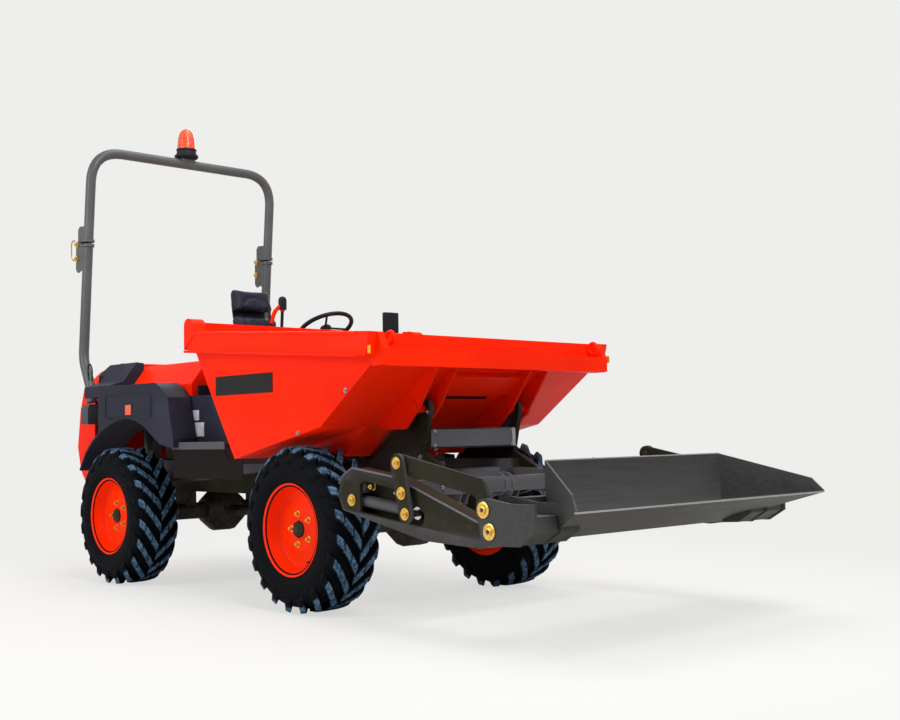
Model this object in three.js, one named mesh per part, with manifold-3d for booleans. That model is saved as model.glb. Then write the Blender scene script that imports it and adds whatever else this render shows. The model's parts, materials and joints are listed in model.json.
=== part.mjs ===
// A site dumper with a forward-tipping skip and a self-loading front shovel.
// Millimetres, +X forward, +Y to the driver's left, +Z up, wheels standing on Z = 0.
// Inside the file X counts from the front axle; the whole group is then moved so that the
// origin is on the ground under the middle of the machine.
import * as THREE from 'three';
import { mergeVertices } from 'three/addons/utils/BufferGeometryUtils.js';
import { ConvexGeometry } from 'three/addons/geometries/ConvexGeometry.js';
import Module from 'manifold-3d';

const wasm = await Module();
wasm.setup();

// ---------------------------------------------------------------- driving dimensions
const GAP = 0.3;                 // between pieces that sit face to face
const RUNNING = 0.2;             // play between a pin's corners and the flats of its bore
const CLEAR = 6;                 // between pieces that move past each other
const STEEL = 12;                // plate of arms, brackets and ribs

const WHEELBASE = 1742;
const TYRE_CENTRE_Y = 616;
const TYRE_R = 380;
const TYRE_HALF_W = 132;
const TREAD_HALF_W = 86;
const RIM_HALF_W = 121;
const RIM_FLANGE_R = 212;
const RIM_SEAT_R = 194;
const RIM_WALL = 8;
const RIM_LIP = 6;
const DISC_INSET = 65;           // from the outer flange to the wheel disc
const SPINDLE_R = 32;
const AXLE_R = 48;
const KINGPIN_Y = 455;
const KINGPIN_R = 18;

const RAIL_IN = 210;             // chassis rails, across
const RAIL_OUT = 278;
const RAIL_LOW = 500;
const RAIL_TOP = 680;
const RAIL_FRONT = 480;
const RAIL_REAR = -2190;
const UPRIGHT_T = 24;

const SKIP_PIVOT = [436, 920];
const SKIP_HALF_W = 712;
const SKIP_WALL = 6;
const SKIP_WELL_HALF_W = 450;
const SKIP_REAR_X = -850;
const RIM_REAR_Z = 1345;
const EAR_TOP_Z = 1412;
const RIM_FRONT_Z = 1240;
const RIM_DEPTH = 102;
const RIM_OUT = 775;
const LIP_X = 673;
const LIP_Z = 1169;
const RIB_YS = [RAIL_IN + 30, RAIL_OUT + UPRIGHT_T + 58];

const ARM_PIVOT = [560, 592];
const SHOVEL_PIVOT = [1373, 440];
const LINK_PIN = [1344, 519];    // link on the shovel's ears
const CRANK_PIN = [878, 570];    // bellcrank on the arm
const CRANK_TOP = [850, 690];    // link on the bellcrank
const CRANK_LOW = [898, 488];    // tilt rod on the bellcrank
const TILT_BASE = [516, 532];
const ARM_IN = 690;
const ARM_OUT = 780;
const ARM_PLATE = 14;
const LINK_IN = 785;
const LINK_OUT = 796;
const EAR_IN = 801;
const EAR_OUT = 815;
const TILT_Y = 735;
const CROSS_BEAM = [800, 582];

const SHOVEL_BACK_X = 1427;
const SHOVEL_BACK_HALF_W = 567.5;
const SHOVEL_TOP_Z = 695;
const SHOVEL_LOW_Z = 396;
const SHOVEL_LIP_X = 1794;
const SHOVEL_LIP_Z = 521;
const SHOVEL_LIP_HALF_W = 816;
const SHOVEL_PLATE = 8;

const LIFT_Y = 165;
const LIFT_BASE = [110, 490];
const LIFT_EYE = [505, 486];
const TIP_BASE = [390, 350];
const TIP_EYE = [166, 730];

const ROPS_Y = 645;
const ROPS_R = 30;
const ROPS_TOP_Z = 2553;
const ROPS_FOLD_Z = 1990;
const ROPS_CORNER_R = 200;

const COWL_REAR_X = -2419;
const FENDER_IN = 600;
const COWL_HALF_W = FENDER_IN - CLEAR;
const COWL_HINGE = [-2250, 520];
const COWL_PIN_R = 8;
const FENDER_OUT = 740;
const HOOD_TOP_Z = 1225;
const HOOD_FRONT_X = -1085;
const HOOD_REAR_X = -2045;
const FLOOR_Z = 775;
const SEAT_Y = 260;

// ---------------------------------------------------------------- finishes
const finish = (color, roughness, metalness) =>
  new THREE.MeshStandardMaterial({ color, roughness, metalness });
const ORANGE = finish(0xff2a05, 0.4, 0.1);
const OLIVE = finish(0x33301f, 0.55, 0.3);
const FRAME_GREY = finish(0x2b2c26, 0.6, 0.3);
const ROPS_GREY = finish(0x4a5450, 0.45, 0.3);
const PLASTIC = finish(0x2a2c36, 0.6, 0);
const RUBBER = finish(0x14161a, 0.85, 0);
const SEAT_BLACK = finish(0x20212c, 0.8, 0);
const CAST = finish(0x4a443c, 0.7, 0.4);
const CHROME = finish(0xc8ccd0, 0.15, 1);
const AMBER = finish(0xff6a12, 0.2, 0);
const SHOVEL_GREY = finish(0x45474a, 0.55, 0.4);

// ---------------------------------------------------------------- solids
const machine = new THREE.Group();

function toSolid(geometry) {
  const bare = geometry.clone();
  bare.deleteAttribute('normal');
  bare.deleteAttribute('uv');
  const merged = mergeVertices(bare, 1e-3);
  return new wasm.Manifold(new wasm.Mesh({
    numProp: 3,
    vertProperties: new Float32Array(merged.attributes.position.array),
    triVerts: new Uint32Array(merged.index.array),
  }));
}

const join = (solids) => solids.reduce((sum, next) => sum.add(next));
const cut = (solid, ...tools) => tools.reduce((left, tool) => left.subtract(tool), solid);

function addNode(name, solid, material) {
  const { vertProperties, triVerts } = solid.getMesh();
  const geometry = new THREE.BufferGeometry();
  geometry.setAttribute('position', new THREE.BufferAttribute(vertProperties, 3));
  geometry.setIndex(new THREE.BufferAttribute(triVerts, 1));
  const mesh = new THREE.Mesh(geometry, material);
  mesh.name = name;
  machine.add(mesh);
}

// A block between two corners.
function block(x0, x1, y0, y1, z0, z1) {
  const box = new THREE.BoxGeometry(x1 - x0, y1 - y0, z1 - z0);
  box.translate((x0 + x1) / 2, (y0 + y1) / 2, (z0 + z1) / 2);
  return toSolid(box);
}

// The same block on the left (side = 1) or the right (side = -1), y0 < y1 from the middle outwards.
const sideBlock = (side, x0, x1, y0, y1, z0, z1) =>
  block(x0, x1, side > 0 ? y0 : -y1, side > 0 ? y1 : -y0, z0, z1);

// A plate with an outline in the X-Z plane, between two Y planes.
function plate(shape, yA, yB, curveSegments = 5) {
  const low = Math.min(yA, yB);
  const high = Math.max(yA, yB);
  const body = new THREE.ExtrudeGeometry(shape, { depth: high - low, bevelEnabled: false, curveSegments });
  body.rotateX(Math.PI / 2);
  body.translate(0, high, 0);
  return toSolid(body);
}

const sidePlate = (side, shape, yA, yB, segments) => plate(shape, side * yA, side * yB, segments);
const outline = (points) => new THREE.Shape(points.map(([x, z]) => new THREE.Vector2(x, z)));

// An outline in the Y-Z plane, given for the left side, drawn out along X.
function alongX(side, points, x0, x1) {
  const body = new THREE.ExtrudeGeometry(outline(points), { depth: x1 - x0, bevelEnabled: false });
  body.rotateX(Math.PI / 2).rotateZ(Math.PI / 2).translate(x0, 0, 0);
  return side > 0 ? toSolid(body) : toSolid(body).mirror([0, 1, 0]);
}

// A cylinder along X, Y or Z.
function rod(axis, radius, [x, y, z], from, to, segments = 14) {
  const body = new THREE.CylinderGeometry(radius, radius, to - from, segments);
  const middle = (from + to) / 2;
  if (axis === 'x') body.rotateZ(-Math.PI / 2).translate(middle, y, z);
  if (axis === 'y') body.translate(x, middle, z);
  if (axis === 'z') body.rotateX(Math.PI / 2).translate(x, y, middle);
  return toSolid(body);
}

// A pin across the machine on one side, yA < yB from the middle outwards.
const sidePin = (side, radius, [x, z], yA, yB, segments = 12) =>
  rod('y', radius, [x, 0, z], Math.min(side * yA, side * yB), Math.max(side * yA, side * yB), segments);

// A cylinder between two points of the X-Z plane at one Y, from distance a to distance b.
function strut(radius, y, from, to, a, b, segments = 12) {
  const direction = new THREE.Vector3(to[0] - from[0], 0, to[1] - from[1]).normalize();
  const body = new THREE.CylinderGeometry(radius, radius, b - a, segments);
  body.applyQuaternion(new THREE.Quaternion().setFromUnitVectors(new THREE.Vector3(0, 1, 0), direction));
  const middle = direction.clone().multiplyScalar((a + b) / 2);
  body.translate(from[0] + middle.x, y, from[1] + middle.z);
  return toSolid(body);
}

// The radius of a bore whose flats stay clear of a pin that turns in it.
const bore = (radius, segments = 12) => (radius + RUNNING) / Math.cos(Math.PI / segments);

// A flat strap with round ends about two pins.
function strap([x0, z0], [x1, z1], radius) {
  const turn = Math.atan2(z1 - z0, x1 - x0);
  const shape = new THREE.Shape();
  shape.absarc(x0, z0, radius, turn + Math.PI / 2, turn + 1.5 * Math.PI);
  shape.absarc(x1, z1, radius, turn - Math.PI / 2, turn + Math.PI / 2);
  shape.closePath();
  return shape;
}

// A round bar swept along a path.
function sweep(path, radius, steps, halfSides = 4) {
  const section = new THREE.Shape();
  section.absarc(0, 0, radius, 0, 2 * Math.PI);
  const body = new THREE.ExtrudeGeometry(section, { steps, extrudePath: path, curveSegments: halfSides });
  return toSolid(body);
}

// Straight runs between points, joined by round bends.
function bentPath(points, radius) {
  const path = new THREE.CurvePath();
  let start = points[0];
  for (let i = 1; i < points.length - 1; i += 1) {
    const before = points[i].clone().add(points[i - 1].clone().sub(points[i]).setLength(radius));
    const after = points[i].clone().add(points[i + 1].clone().sub(points[i]).setLength(radius));
    path.add(new THREE.LineCurve3(start, before));
    path.add(new THREE.QuadraticBezierCurve3(before, points[i], after));
    start = after;
  }
  path.add(new THREE.LineCurve3(start, points[points.length - 1]));
  return path;
}

// A body of revolution about the Y line through (x, z), from [radius, y] points.
function turned(profile, x, z, segments, phase = 0) {
  const body = new THREE.LatheGeometry(profile.map(([r, y]) => new THREE.Vector2(r, y)), segments, phase);
  body.translate(x, 0, z);
  return toSolid(body);
}

// An outline moved inwards by a wall, for an outline with straight sides.
function inset(points, wall) {
  const count = points.length;
  const area = points.reduce((sum, [x, z], i) => {
    const [nx, nz] = points[(i + 1) % count];
    return sum + x * nz - nx * z;
  }, 0);
  const sign = Math.sign(area);
  const normal = (a, b) => {
    const length = Math.hypot(b[0] - a[0], b[1] - a[1]);
    return [-(b[1] - a[1]) / length * sign, (b[0] - a[0]) / length * sign];
  };
  return points.map((point, i) => {
    const n0 = normal(points[(i + count - 1) % count], point);
    const n1 = normal(point, points[(i + 1) % count]);
    const scale = wall / (1 + n0[0] * n1[0] + n0[1] * n1[1]);
    return [point[0] + (n0[0] + n1[0]) * scale, point[1] + (n0[1] + n1[1]) * scale];
  });
}

const SIDES = [['left', 1], ['right', -1]];

// ---------------------------------------------------------------- wheels
// A wheel is a prism with WHEEL_SIDES flats, turned so that one flat of the tread lies on the ground.
const WHEEL_SIDES = 24;
const FLAT = Math.cos(Math.PI / WHEEL_SIDES);
const HALF_SIDE = Math.PI / WHEEL_SIDES;

function tyre(side, x) {
  const bead = RIM_HALF_W - RIM_LIP - GAP;
  const seat = RIM_SEAT_R + GAP;
  const half = [[seat, bead], [RIM_FLANGE_R + 1, bead], [(RIM_FLANGE_R + TYRE_R) / 2 - 8, TYRE_HALF_W],
    [TYRE_R - 38, TYRE_HALF_W - 9], [TYRE_R - 8, TREAD_HALF_W + 20], [TYRE_R / FLAT, TREAD_HALF_W]];
  const profile = [...half, ...half.map(([r, w]) => [r, -w]).reverse(), half[0]];
  const rings = profile.map(([r, w]) => [r, side * TYRE_CENTRE_Y + w]).reverse();
  return turned(rings, x, TYRE_R, WHEEL_SIDES, HALF_SIDE);
}

function rim(side, x) {
  const inner = RIM_SEAT_R - RIM_WALL;
  const disc = RIM_HALF_W - DISC_INSET;
  const hub = SPINDLE_R + 26;
  const seat = bore(SPINDLE_R, WHEEL_SIDES);
  const profile = [[seat, disc - 70], [hub, disc - 70], [hub, disc - 12], [inner, disc - 32],
    [inner, -RIM_HALF_W], [RIM_FLANGE_R, -RIM_HALF_W], [RIM_SEAT_R, -RIM_HALF_W + RIM_LIP],
    [RIM_SEAT_R, RIM_HALF_W - RIM_LIP], [RIM_FLANGE_R, RIM_HALF_W], [inner, RIM_HALF_W],
    [inner, disc - 20], [hub, disc], [hub, disc + 26], [0, disc + 26],
    [0, disc + 8], [seat, disc + 8], [seat, disc - 70]];
  const placed = profile.map(([r, w]) => [r, side * (TYRE_CENTRE_Y + w)]);
  return turned(side > 0 ? placed : placed.reverse(), x, TYRE_R, WHEEL_SIDES, HALF_SIDE);
}

for (const [end, x] of [['front', 0], ['rear', -WHEELBASE]]) {
  for (const [name, side] of SIDES) {
    addNode(`tyre_${end}_${name}`, tyre(side, x), RUBBER);
    addNode(`rim_${end}_${name}`, rim(side, x), ORANGE);
  }
}

// ---------------------------------------------------------------- axles
const SPINDLE_END = TYRE_CENTRE_Y + RIM_HALF_W - DISC_INSET + 4;

const DIFF_R = 125;
function diffCase(x) {
  const profile = [[0, -140], [70, -130], [DIFF_R, -60], [DIFF_R, 60], [70, 130], [0, 140]];
  return turned(profile, x, TYRE_R, 16);
}

const seatPads = (x) => SIDES.map(([, side]) =>
  sideBlock(side, x - 60, x + 60, RAIL_IN, RAIL_OUT, TYRE_R + AXLE_R - 15, RAIL_LOW - GAP));

addNode('front_axle', join([
  rod('y', AXLE_R, [0, 0, TYRE_R], -500, 500),
  diffCase(0),
  ...seatPads(0),
  ...SIDES.map(([, side]) => sidePin(side, 110, [0, TYRE_R], 470, 530, 24)),
  ...SIDES.map(([, side]) => sidePin(side, SPINDLE_R, [0, TYRE_R], 500, SPINDLE_END)),
]), CAST);

const STEER_X = -WHEELBASE - 150;
const STEER_ROD_R = 13;
addNode('rear_axle', cut(join([
  rod('y', AXLE_R, [-WHEELBASE, 0, TYRE_R], -KINGPIN_Y + 70, KINGPIN_Y - 70),
  diffCase(-WHEELBASE),
  ...seatPads(-WHEELBASE),
  ...SIDES.flatMap(([, side]) => [1, -1].map((end) => sideBlock(side, -WHEELBASE - 30, -WHEELBASE + 30,
    KINGPIN_Y - 85, KINGPIN_Y + 26, TYRE_R + end * 70 - 12, TYRE_R + end * 70 + 12))),
  ...SIDES.map(([, side]) => sideBlock(side, -WHEELBASE - 30, -WHEELBASE + 30,
    KINGPIN_Y - 90, KINGPIN_Y - 66, TYRE_R - 82, TYRE_R + 82)),
  ...SIDES.map(([, side]) => rod('z', KINGPIN_R, [-WHEELBASE, side * KINGPIN_Y, 0], TYRE_R - 70, TYRE_R + 70)),
  rod('y', 28, [STEER_X, 0, TYRE_R], -190, 190),
  block(STEER_X - 20, -WHEELBASE - 90, -60, 60, TYRE_R - 20, TYRE_R + 20),
]), rod('y', bore(STEER_ROD_R, 14), [STEER_X, 0, TYRE_R], -200, 200)), CAST);

addNode('steering_rod', rod('y', STEER_ROD_R, [STEER_X, 0, TYRE_R], -KINGPIN_Y + 28, KINGPIN_Y - 28), CHROME);

for (const [name, side] of SIDES) {
  const yoke = join([
    rod('z', KINGPIN_R + 20, [-WHEELBASE, side * KINGPIN_Y, 0], TYRE_R - 56, TYRE_R + 56),
    sidePin(side, SPINDLE_R, [-WHEELBASE, TYRE_R], KINGPIN_Y + 20, SPINDLE_END),
    sideBlock(side, STEER_X - 14, -WHEELBASE, KINGPIN_Y - 16, KINGPIN_Y + 16, TYRE_R - 12, TYRE_R + 12),
  ]);
  const kingpinBore = rod('z', bore(KINGPIN_R, 14), [-WHEELBASE, side * KINGPIN_Y, 0], TYRE_R - 90, TYRE_R + 90);
  addNode(`knuckle_${name}`, cut(yoke, kingpinBore), CAST);
}

// ---------------------------------------------------------------- chassis
const [kx, kz] = SKIP_PIVOT;
const [bx, bz] = ARM_PIVOT;
const SHAFT_R = 32;
const SHAFT_SIDES = 20;
const SKIP_PIN_R = 20;

function upright(side) {
  const shape = new THREE.Shape();
  shape.moveTo(-160, RAIL_LOW + 40);
  shape.lineTo(-160, RAIL_TOP - 10);
  shape.lineTo(40, RAIL_TOP - 4);
  shape.lineTo(205, 812);
  shape.lineTo(kx - 110, 850);
  shape.lineTo(kx - 52, kz);
  shape.absarc(kx, kz, 52, Math.PI, 0, true);
  shape.lineTo(kx + 6, RAIL_TOP + 40);
  shape.lineTo(bx, bz + 62);
  shape.absarc(bx, bz, 62, Math.PI / 2, -Math.PI / 2, true);
  shape.lineTo(RAIL_FRONT - 40, RAIL_LOW);
  shape.closePath();
  return cut(sidePlate(side, shape, RAIL_OUT, RAIL_OUT + UPRIGHT_T),
    sidePin(side, bore(SKIP_PIN_R), SKIP_PIVOT, RAIL_IN, RAIL_OUT + 60));
}

const TIP_BRACKET_Y = 46;
const ROPS_BEAM = [-2182, -2092, 900, 1000];
const OUTRIGGERS = [-1060, -670];
const PIN_R = 14;
const COWL_LUG_Y = 230;

const chassis = join([
  ...SIDES.flatMap(([, side]) => [
    sideBlock(side, RAIL_REAR, RAIL_FRONT, RAIL_IN, RAIL_OUT, RAIL_LOW, RAIL_TOP),
    upright(side),
    sideBlock(side, ROPS_BEAM[0], ROPS_BEAM[1], RAIL_IN, RAIL_OUT, RAIL_TOP - 1, ROPS_BEAM[2] + 1),
    sideBlock(side, TIP_BASE[0] - 30, TIP_BASE[0] + 26, TIP_BRACKET_Y, TIP_BRACKET_Y + STEEL,
      TIP_BASE[1] - 30, 600),
    sidePin(side, SHAFT_R, ARM_PIVOT, 0, ARM_OUT - ARM_PLATE - 1, SHAFT_SIDES),
    ...OUTRIGGERS.map((x) => sideBlock(side, x, x + 60, RAIL_IN, 685, RAIL_TOP - 10, FLOOR_Z - 15 - GAP)),
  ]),
  block(395, 455, -RAIL_OUT - 1, RAIL_OUT + 1, 737, 830),
  block(362, 416, -RAIL_IN - 1, RAIL_IN + 1, 575, 640),
  block(-330, -230, -RAIL_IN - 1, RAIL_IN + 1, RAIL_LOW, RAIL_TOP - 60),
  block(-1130, -1030, -RAIL_IN - 1, RAIL_IN + 1, RAIL_LOW, RAIL_TOP),
  block(RAIL_REAR, RAIL_REAR + 60, -RAIL_IN - 1, RAIL_IN + 1, RAIL_LOW, RAIL_TOP),
  ...SIDES.flatMap(([, side]) => [
    sidePlate(side, strap(COWL_HINGE, [RAIL_REAR + 20, COWL_HINGE[1]], 14), COWL_LUG_Y, COWL_LUG_Y + 12),
    sidePin(side, COWL_PIN_R, COWL_HINGE, COWL_LUG_Y + 1, COWL_LUG_Y + 32),
  ]),
  block(ROPS_BEAM[0], ROPS_BEAM[1], -690, 690, ROPS_BEAM[2], ROPS_BEAM[3]),
  rod('y', PIN_R, [TIP_BASE[0], 0, TIP_BASE[1]], -TIP_BRACKET_Y - STEEL - 6, TIP_BRACKET_Y + STEEL + 6),
  rod('y', PIN_R, [LIFT_BASE[0], 0, LIFT_BASE[1]], -RAIL_IN - 1, RAIL_IN + 1),
]);
addNode('chassis_frame', chassis, OLIVE);

addNode('engine_block', block(-1960, -1330, -255, 255, RAIL_TOP + GAP, 1120), CAST);
addNode('driveline', join([
  block(-1010, -800, -RAIL_IN + GAP, RAIL_IN - GAP, TYRE_R, RAIL_TOP - 60),
  rod('x', 28, [0, 0, TYRE_R], -WHEELBASE + DIFF_R + GAP, -DIFF_R - GAP, 12),
]), CAST);

// ---------------------------------------------------------------- rear body
const COVER_WALL = 12;
const cowlOuter = [[-2052, 1262], [-2150, 1250], [-2262, 1218], [-2332, 1130], [-2385, 990],
  [COWL_REAR_X, 767], [-2377, 627], [-2297, 538], [-2205, 538]];
const cowlFront = [[-2198, 800], [-2190, 1030], [-2110, 1060], [-2052, 1140]];
const cowlShape = outline([...cowlOuter, ...cowlFront]);
const cowlCavity = outline([...inset([...cowlOuter, [-1900, 538], [-1900, 1280]], COVER_WALL).slice(0, 8),
  [-2000, 550], [-2000, 1238]]);
// What the slanted upper corner takes off the cowl, with the slant moved inwards by a distance.
function bevel(side, distance) {
  const low = FENDER_IN + 8;
  const high = 495 - distance * 1.2;
  return alongX(side, [[low, 1108 - distance * 1.4], [low, 1320], [high, 1320], [high, 1255 - distance * 1.2]],
    -2500, -1900);
}
const cowlTab = outline([[COWL_HINGE[0] - 14, COWL_HINGE[1] - 12], [COWL_HINGE[0] + 14, COWL_HINGE[1] - 12],
  [COWL_HINGE[0] + 20, 540], [COWL_HINGE[0] - 20, 540]]);
addNode('rear_cowl', cut(
  join([
    cut(
      plate(cowlShape, -COWL_HALF_W, COWL_HALF_W),
      cut(
      plate(cowlCavity, -COWL_HALF_W + COVER_WALL, COWL_HALF_W - COVER_WALL),
      bevel(1, COVER_WALL),
      bevel(-1, COVER_WALL),
    ),
      bevel(1, 0),
      bevel(-1, 0),
    ),
    ...SIDES.map(([, side]) => sidePlate(side, cowlTab, COWL_LUG_Y + 13, COWL_LUG_Y + 25)),
  ]),
  rod('y', bore(COWL_PIN_R), [COWL_HINGE[0], 0, COWL_HINGE[1]], -400, 400, 12),
), ORANGE);

const hoodSection = (half, top, low) => [[half, low], [half, top - 128], [half - 96, top],
  [96 - half, top], [-half, top - 128], [-half, low]];
// The raised cover of the fender sits in a notch of the hood.
const COVER_IN = 512;
const COVER_REAR_X = -2120;
const COVER_FRONT_X = -1750;
addNode('hood', cut(
  alongX(1, hoodSection(FENDER_IN - 4, HOOD_TOP_Z, 1030 + GAP), HOOD_REAR_X, HOOD_FRONT_X),
  alongX(
    1,
    hoodSection(FENDER_IN - 4 - COVER_WALL, HOOD_TOP_Z - COVER_WALL, 1000),
    HOOD_REAR_X - 10,
    HOOD_FRONT_X - COVER_WALL,
  ),
  ...SIDES.map(([, side]) => sideBlock(side, -2100, COVER_FRONT_X + GAP, COVER_IN - GAP, 700, 1000, 1300)),
), ORANGE);
addNode(
  'hood_front_panel',
  block(HOOD_FRONT_X + GAP, HOOD_FRONT_X + 12, -560, 560, FLOOR_Z + GAP, HOOD_TOP_Z - 135),
  PLASTIC,
);

const LINER_R = 495;
const LINER_T = 12;
const arch = [[-1257, 827], [-1333, 871], [-1421, 903], [-1511, 918], [-1602, 915], [-1708, 895]];
function fender(side) {
  const skin = [[-1815, 857], [-1865, 835], [-1866, 1115], [-1545, 1107], [-1225, 1106], [-1151, 1074],
    [-1088, 1024], [-1028, 804], [-1028, FLOOR_Z - 15], [-1085, FLOOR_Z - 15], [-1172, 779]];
  const linerArc = (radius) => [100, 112, 124, 136, 150].map(THREE.MathUtils.degToRad)
    .map((turn) => [-WHEELBASE + radius * Math.cos(turn), TYRE_R + radius * Math.sin(turn)]);
  const over = arch.map(([x, z]) => [x, z + LINER_T]);
  const liner = [[-1141, 785], ...arch, ...linerArc(LINER_R), ...linerArc(LINER_R + LINER_T).reverse(),
    ...over.reverse(), [-1141, 785 + LINER_T]];
  const cover = [[COVER_IN, 1050], [COVER_IN, 1245], [560, 1250], [640, 1140], [735, 1112], [735, 1050]];
  const coverEnd = outline([[-2200, 1000], [-2200, 1300], [-2070, 1300], [-2070, 1250],
    [COVER_REAR_X, 1200], [COVER_REAR_X, 1000]]);
  return join([
    sidePlate(side, outline([...skin, ...arch]), FENDER_IN, FENDER_OUT),
    sidePlate(side, outline(liner), 470, 700),
    alongX(side, cover, HOOD_REAR_X - 1, COVER_FRONT_X),
    cut(
      alongX(side, cover, COVER_REAR_X, HOOD_REAR_X).intersect(bevel(side, -CLEAR - 1)),
      sidePlate(side, coverEnd, 400, 800),
    ),
  ]);
}
for (const [name, side] of SIDES) addNode(`fender_${name}`, fender(side), PLASTIC);

for (const [name, side] of SIDES) {
  const shape = outline([[-1135, FLOOR_Z + GAP], [-640, FLOOR_Z + GAP], [-745, 1030], [-1270, 1030],
    [-1270, 864], [-1135, 806]]);
  addNode(`side_panel_${name}`, sidePlate(side, shape, 565, 595), PLASTIC);
}

addNode('floor_plate', join([
  block(-1100, -600, -598, 598, FLOOR_Z - 15, FLOOR_Z),
  block(-1022, -600, -700, 700, FLOOR_Z - 15, FLOOR_Z),
  ...SIDES.map(([, side]) => sideBlock(side, -1022, -600, 688, 700, 740, FLOOR_Z)),
]), OLIVE);

// ---------------------------------------------------------------- driver's place
addNode('seat_base', block(-1800, -1430, SEAT_Y - 170, SEAT_Y + 170, HOOD_TOP_Z + GAP, 1290), PLASTIC);
addNode('seat_cushion', block(-1790, -1390, SEAT_Y - 225, SEAT_Y + 225, 1290 + GAP, 1380), SEAT_BLACK);
const backShape = outline([[-1690, 1380 + GAP], [-1765, 1385], [-1852, 1705], [-1836, 1741], [-1792, 1738]]);
addNode('seat_back', plate(backShape, SEAT_Y - 165, SEAT_Y + 165), SEAT_BLACK);

const WHEEL_HUB = [-1035, 1430];
const WHEEL_TILT = THREE.MathUtils.degToRad(28);
const WHEEL_RING_R = 155;
function steeringWheel() {
  const ring = new THREE.TorusGeometry(WHEEL_RING_R, 12, 6, 20);
  const hub = new THREE.CylinderGeometry(32, 32, 24, 16).rotateX(Math.PI / 2);
  const spokes = [0, 1, 2].map((i) => new THREE.BoxGeometry(WHEEL_RING_R - 20, 22, 8)
    .translate((WHEEL_RING_R - 20) / 2 + 14, 0, 0).rotateZ(i * 2 * Math.PI / 3 + Math.PI / 6));
  const place = (g) => toSolid(g.rotateY(-WHEEL_TILT).translate(WHEEL_HUB[0], SEAT_Y, WHEEL_HUB[1]));
  return join([ring, hub, ...spokes].map(place));
}
const columnFoot = [WHEEL_HUB[0] + Math.sin(WHEEL_TILT) * 640, WHEEL_HUB[1] - Math.cos(WHEEL_TILT) * 640];
addNode('steering_wheel', steeringWheel(), PLASTIC);
addNode('steering_column', cut(join([
  strut(24, SEAT_Y, WHEEL_HUB, columnFoot, 13, 640),
  block(-900, -700, SEAT_Y - 70, SEAT_Y + 70, FLOOR_Z + GAP, FLOOR_Z + 140),
]), block(-1000, -600, -900, 900, 700, FLOOR_Z + GAP),
plate(outline([[-650, 700], [-500, 700], [-700, 1000], [-745, 1000]]), -900, 900)), PLASTIC);

addNode('control_console', join([
  block(-1180, -1100, -120, 80, HOOD_TOP_Z + GAP, 1300),
  strut(9, 20, [-1140, 1290], [-1120, 1545], 0, 250),
  rod('z', 24, [-1120, 20, 0], 1530, 1590, 12),
  strut(8, -50, [-1140, 1290], [-1150, 1540], 0, 240),
]), PLASTIC);

addNode('mirror', join([
  sweep(bentPath([new THREE.Vector3(-985, 640, FLOOR_Z + GAP), new THREE.Vector3(-985, 640, 1380),
    new THREE.Vector3(-920, 650, 1470)], 60), 9, 10, 4),
  block(-932, -900, 605, 705, 1410, 1530),
]), PLASTIC);

// ---------------------------------------------------------------- roll-over bar
const FOOT = new THREE.Vector3(-2132, 0, 1030);
const BEND = new THREE.Vector3(-2145, 0, 1110);
const KNEE = new THREE.Vector3(-2242, 0, 1290);
const foldX = -2186;
const at = (v, y) => new THREE.Vector3(v.x, y, v.z);
const FOLD_AXIS_X = foldX - 86;
const FOLD_LUG_R = 24;
const FOLD_PIN_R = 9;
const HOOP_TOP_X = -2138;
const LAMP_BASE_TOP = ROPS_TOP_Z + 97;

for (const [name, side] of SIDES) {
  const y = side * ROPS_Y;
  const path = bentPath([at(FOOT, y), at(BEND, y), at(KNEE, y), new THREE.Vector3(foldX, y, ROPS_FOLD_Z - 6)], 60);
  addNode(`rops_leg_${name}`, join([
    sweep(path, ROPS_R, 18),
    rod('z', ROPS_R + 5, [foldX, y, 0], ROPS_FOLD_Z - 22, ROPS_FOLD_Z - 4),
    block(ROPS_BEAM[0] + 5, ROPS_BEAM[1] - 5, y - 36, y + 36, ROPS_BEAM[3] + GAP, ROPS_BEAM[3] + 40),
    ...[22, -22].flatMap((offset) => [
      plate(
        strap([FOLD_AXIS_X, ROPS_FOLD_Z - 140], [FOLD_AXIS_X, ROPS_FOLD_Z], FOLD_LUG_R),
        y + offset - 5,
        y + offset + 5,
      ),
      block(FOLD_AXIS_X, foldX - 10, y + offset - 5, y + offset + 5, ROPS_FOLD_Z - 150, ROPS_FOLD_Z - 30),
    ]),
    rod('y', FOLD_PIN_R, [FOLD_AXIS_X, 0, ROPS_FOLD_Z], y - 34, y + 34, 12),
  ]), ROPS_GREY);
}

const archPoints = [-1, 1].flatMap((side) => {
  const leg = [
    new THREE.Vector3(foldX + 1, side * ROPS_Y, ROPS_FOLD_Z + 6),
    new THREE.Vector3(HOOP_TOP_X, side * ROPS_Y, ROPS_TOP_Z),
  ];
  return side < 0 ? leg : leg.reverse();
});
addNode('rops_arch', cut(join([
  sweep(bentPath(archPoints, ROPS_CORNER_R), ROPS_R, 26),
  ...[-1, 1].flatMap((side) => [
    rod('z', ROPS_R + 5, [foldX, side * ROPS_Y, 0], ROPS_FOLD_Z + 4, ROPS_FOLD_Z + 22),
    plate(
      strap([FOLD_AXIS_X, ROPS_FOLD_Z], [FOLD_AXIS_X, ROPS_FOLD_Z + 90], FOLD_LUG_R - 2),
      side * ROPS_Y - 15,
      side * ROPS_Y + 15,
    ),
    block(FOLD_AXIS_X, foldX - 10, side * ROPS_Y - 15, side * ROPS_Y + 15, ROPS_FOLD_Z + 24, ROPS_FOLD_Z + 105),
  ]),
  block(HOOP_TOP_X - 30, HOOP_TOP_X + 30, -45, 45, ROPS_TOP_Z + 10, ROPS_TOP_Z + 34),
]), ...[-1, 1].map((side) => rod('y', bore(FOLD_PIN_R), [FOLD_AXIS_X, 0, ROPS_FOLD_Z],
  side * ROPS_Y - 40, side * ROPS_Y + 40, 12))), ROPS_GREY);
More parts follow.
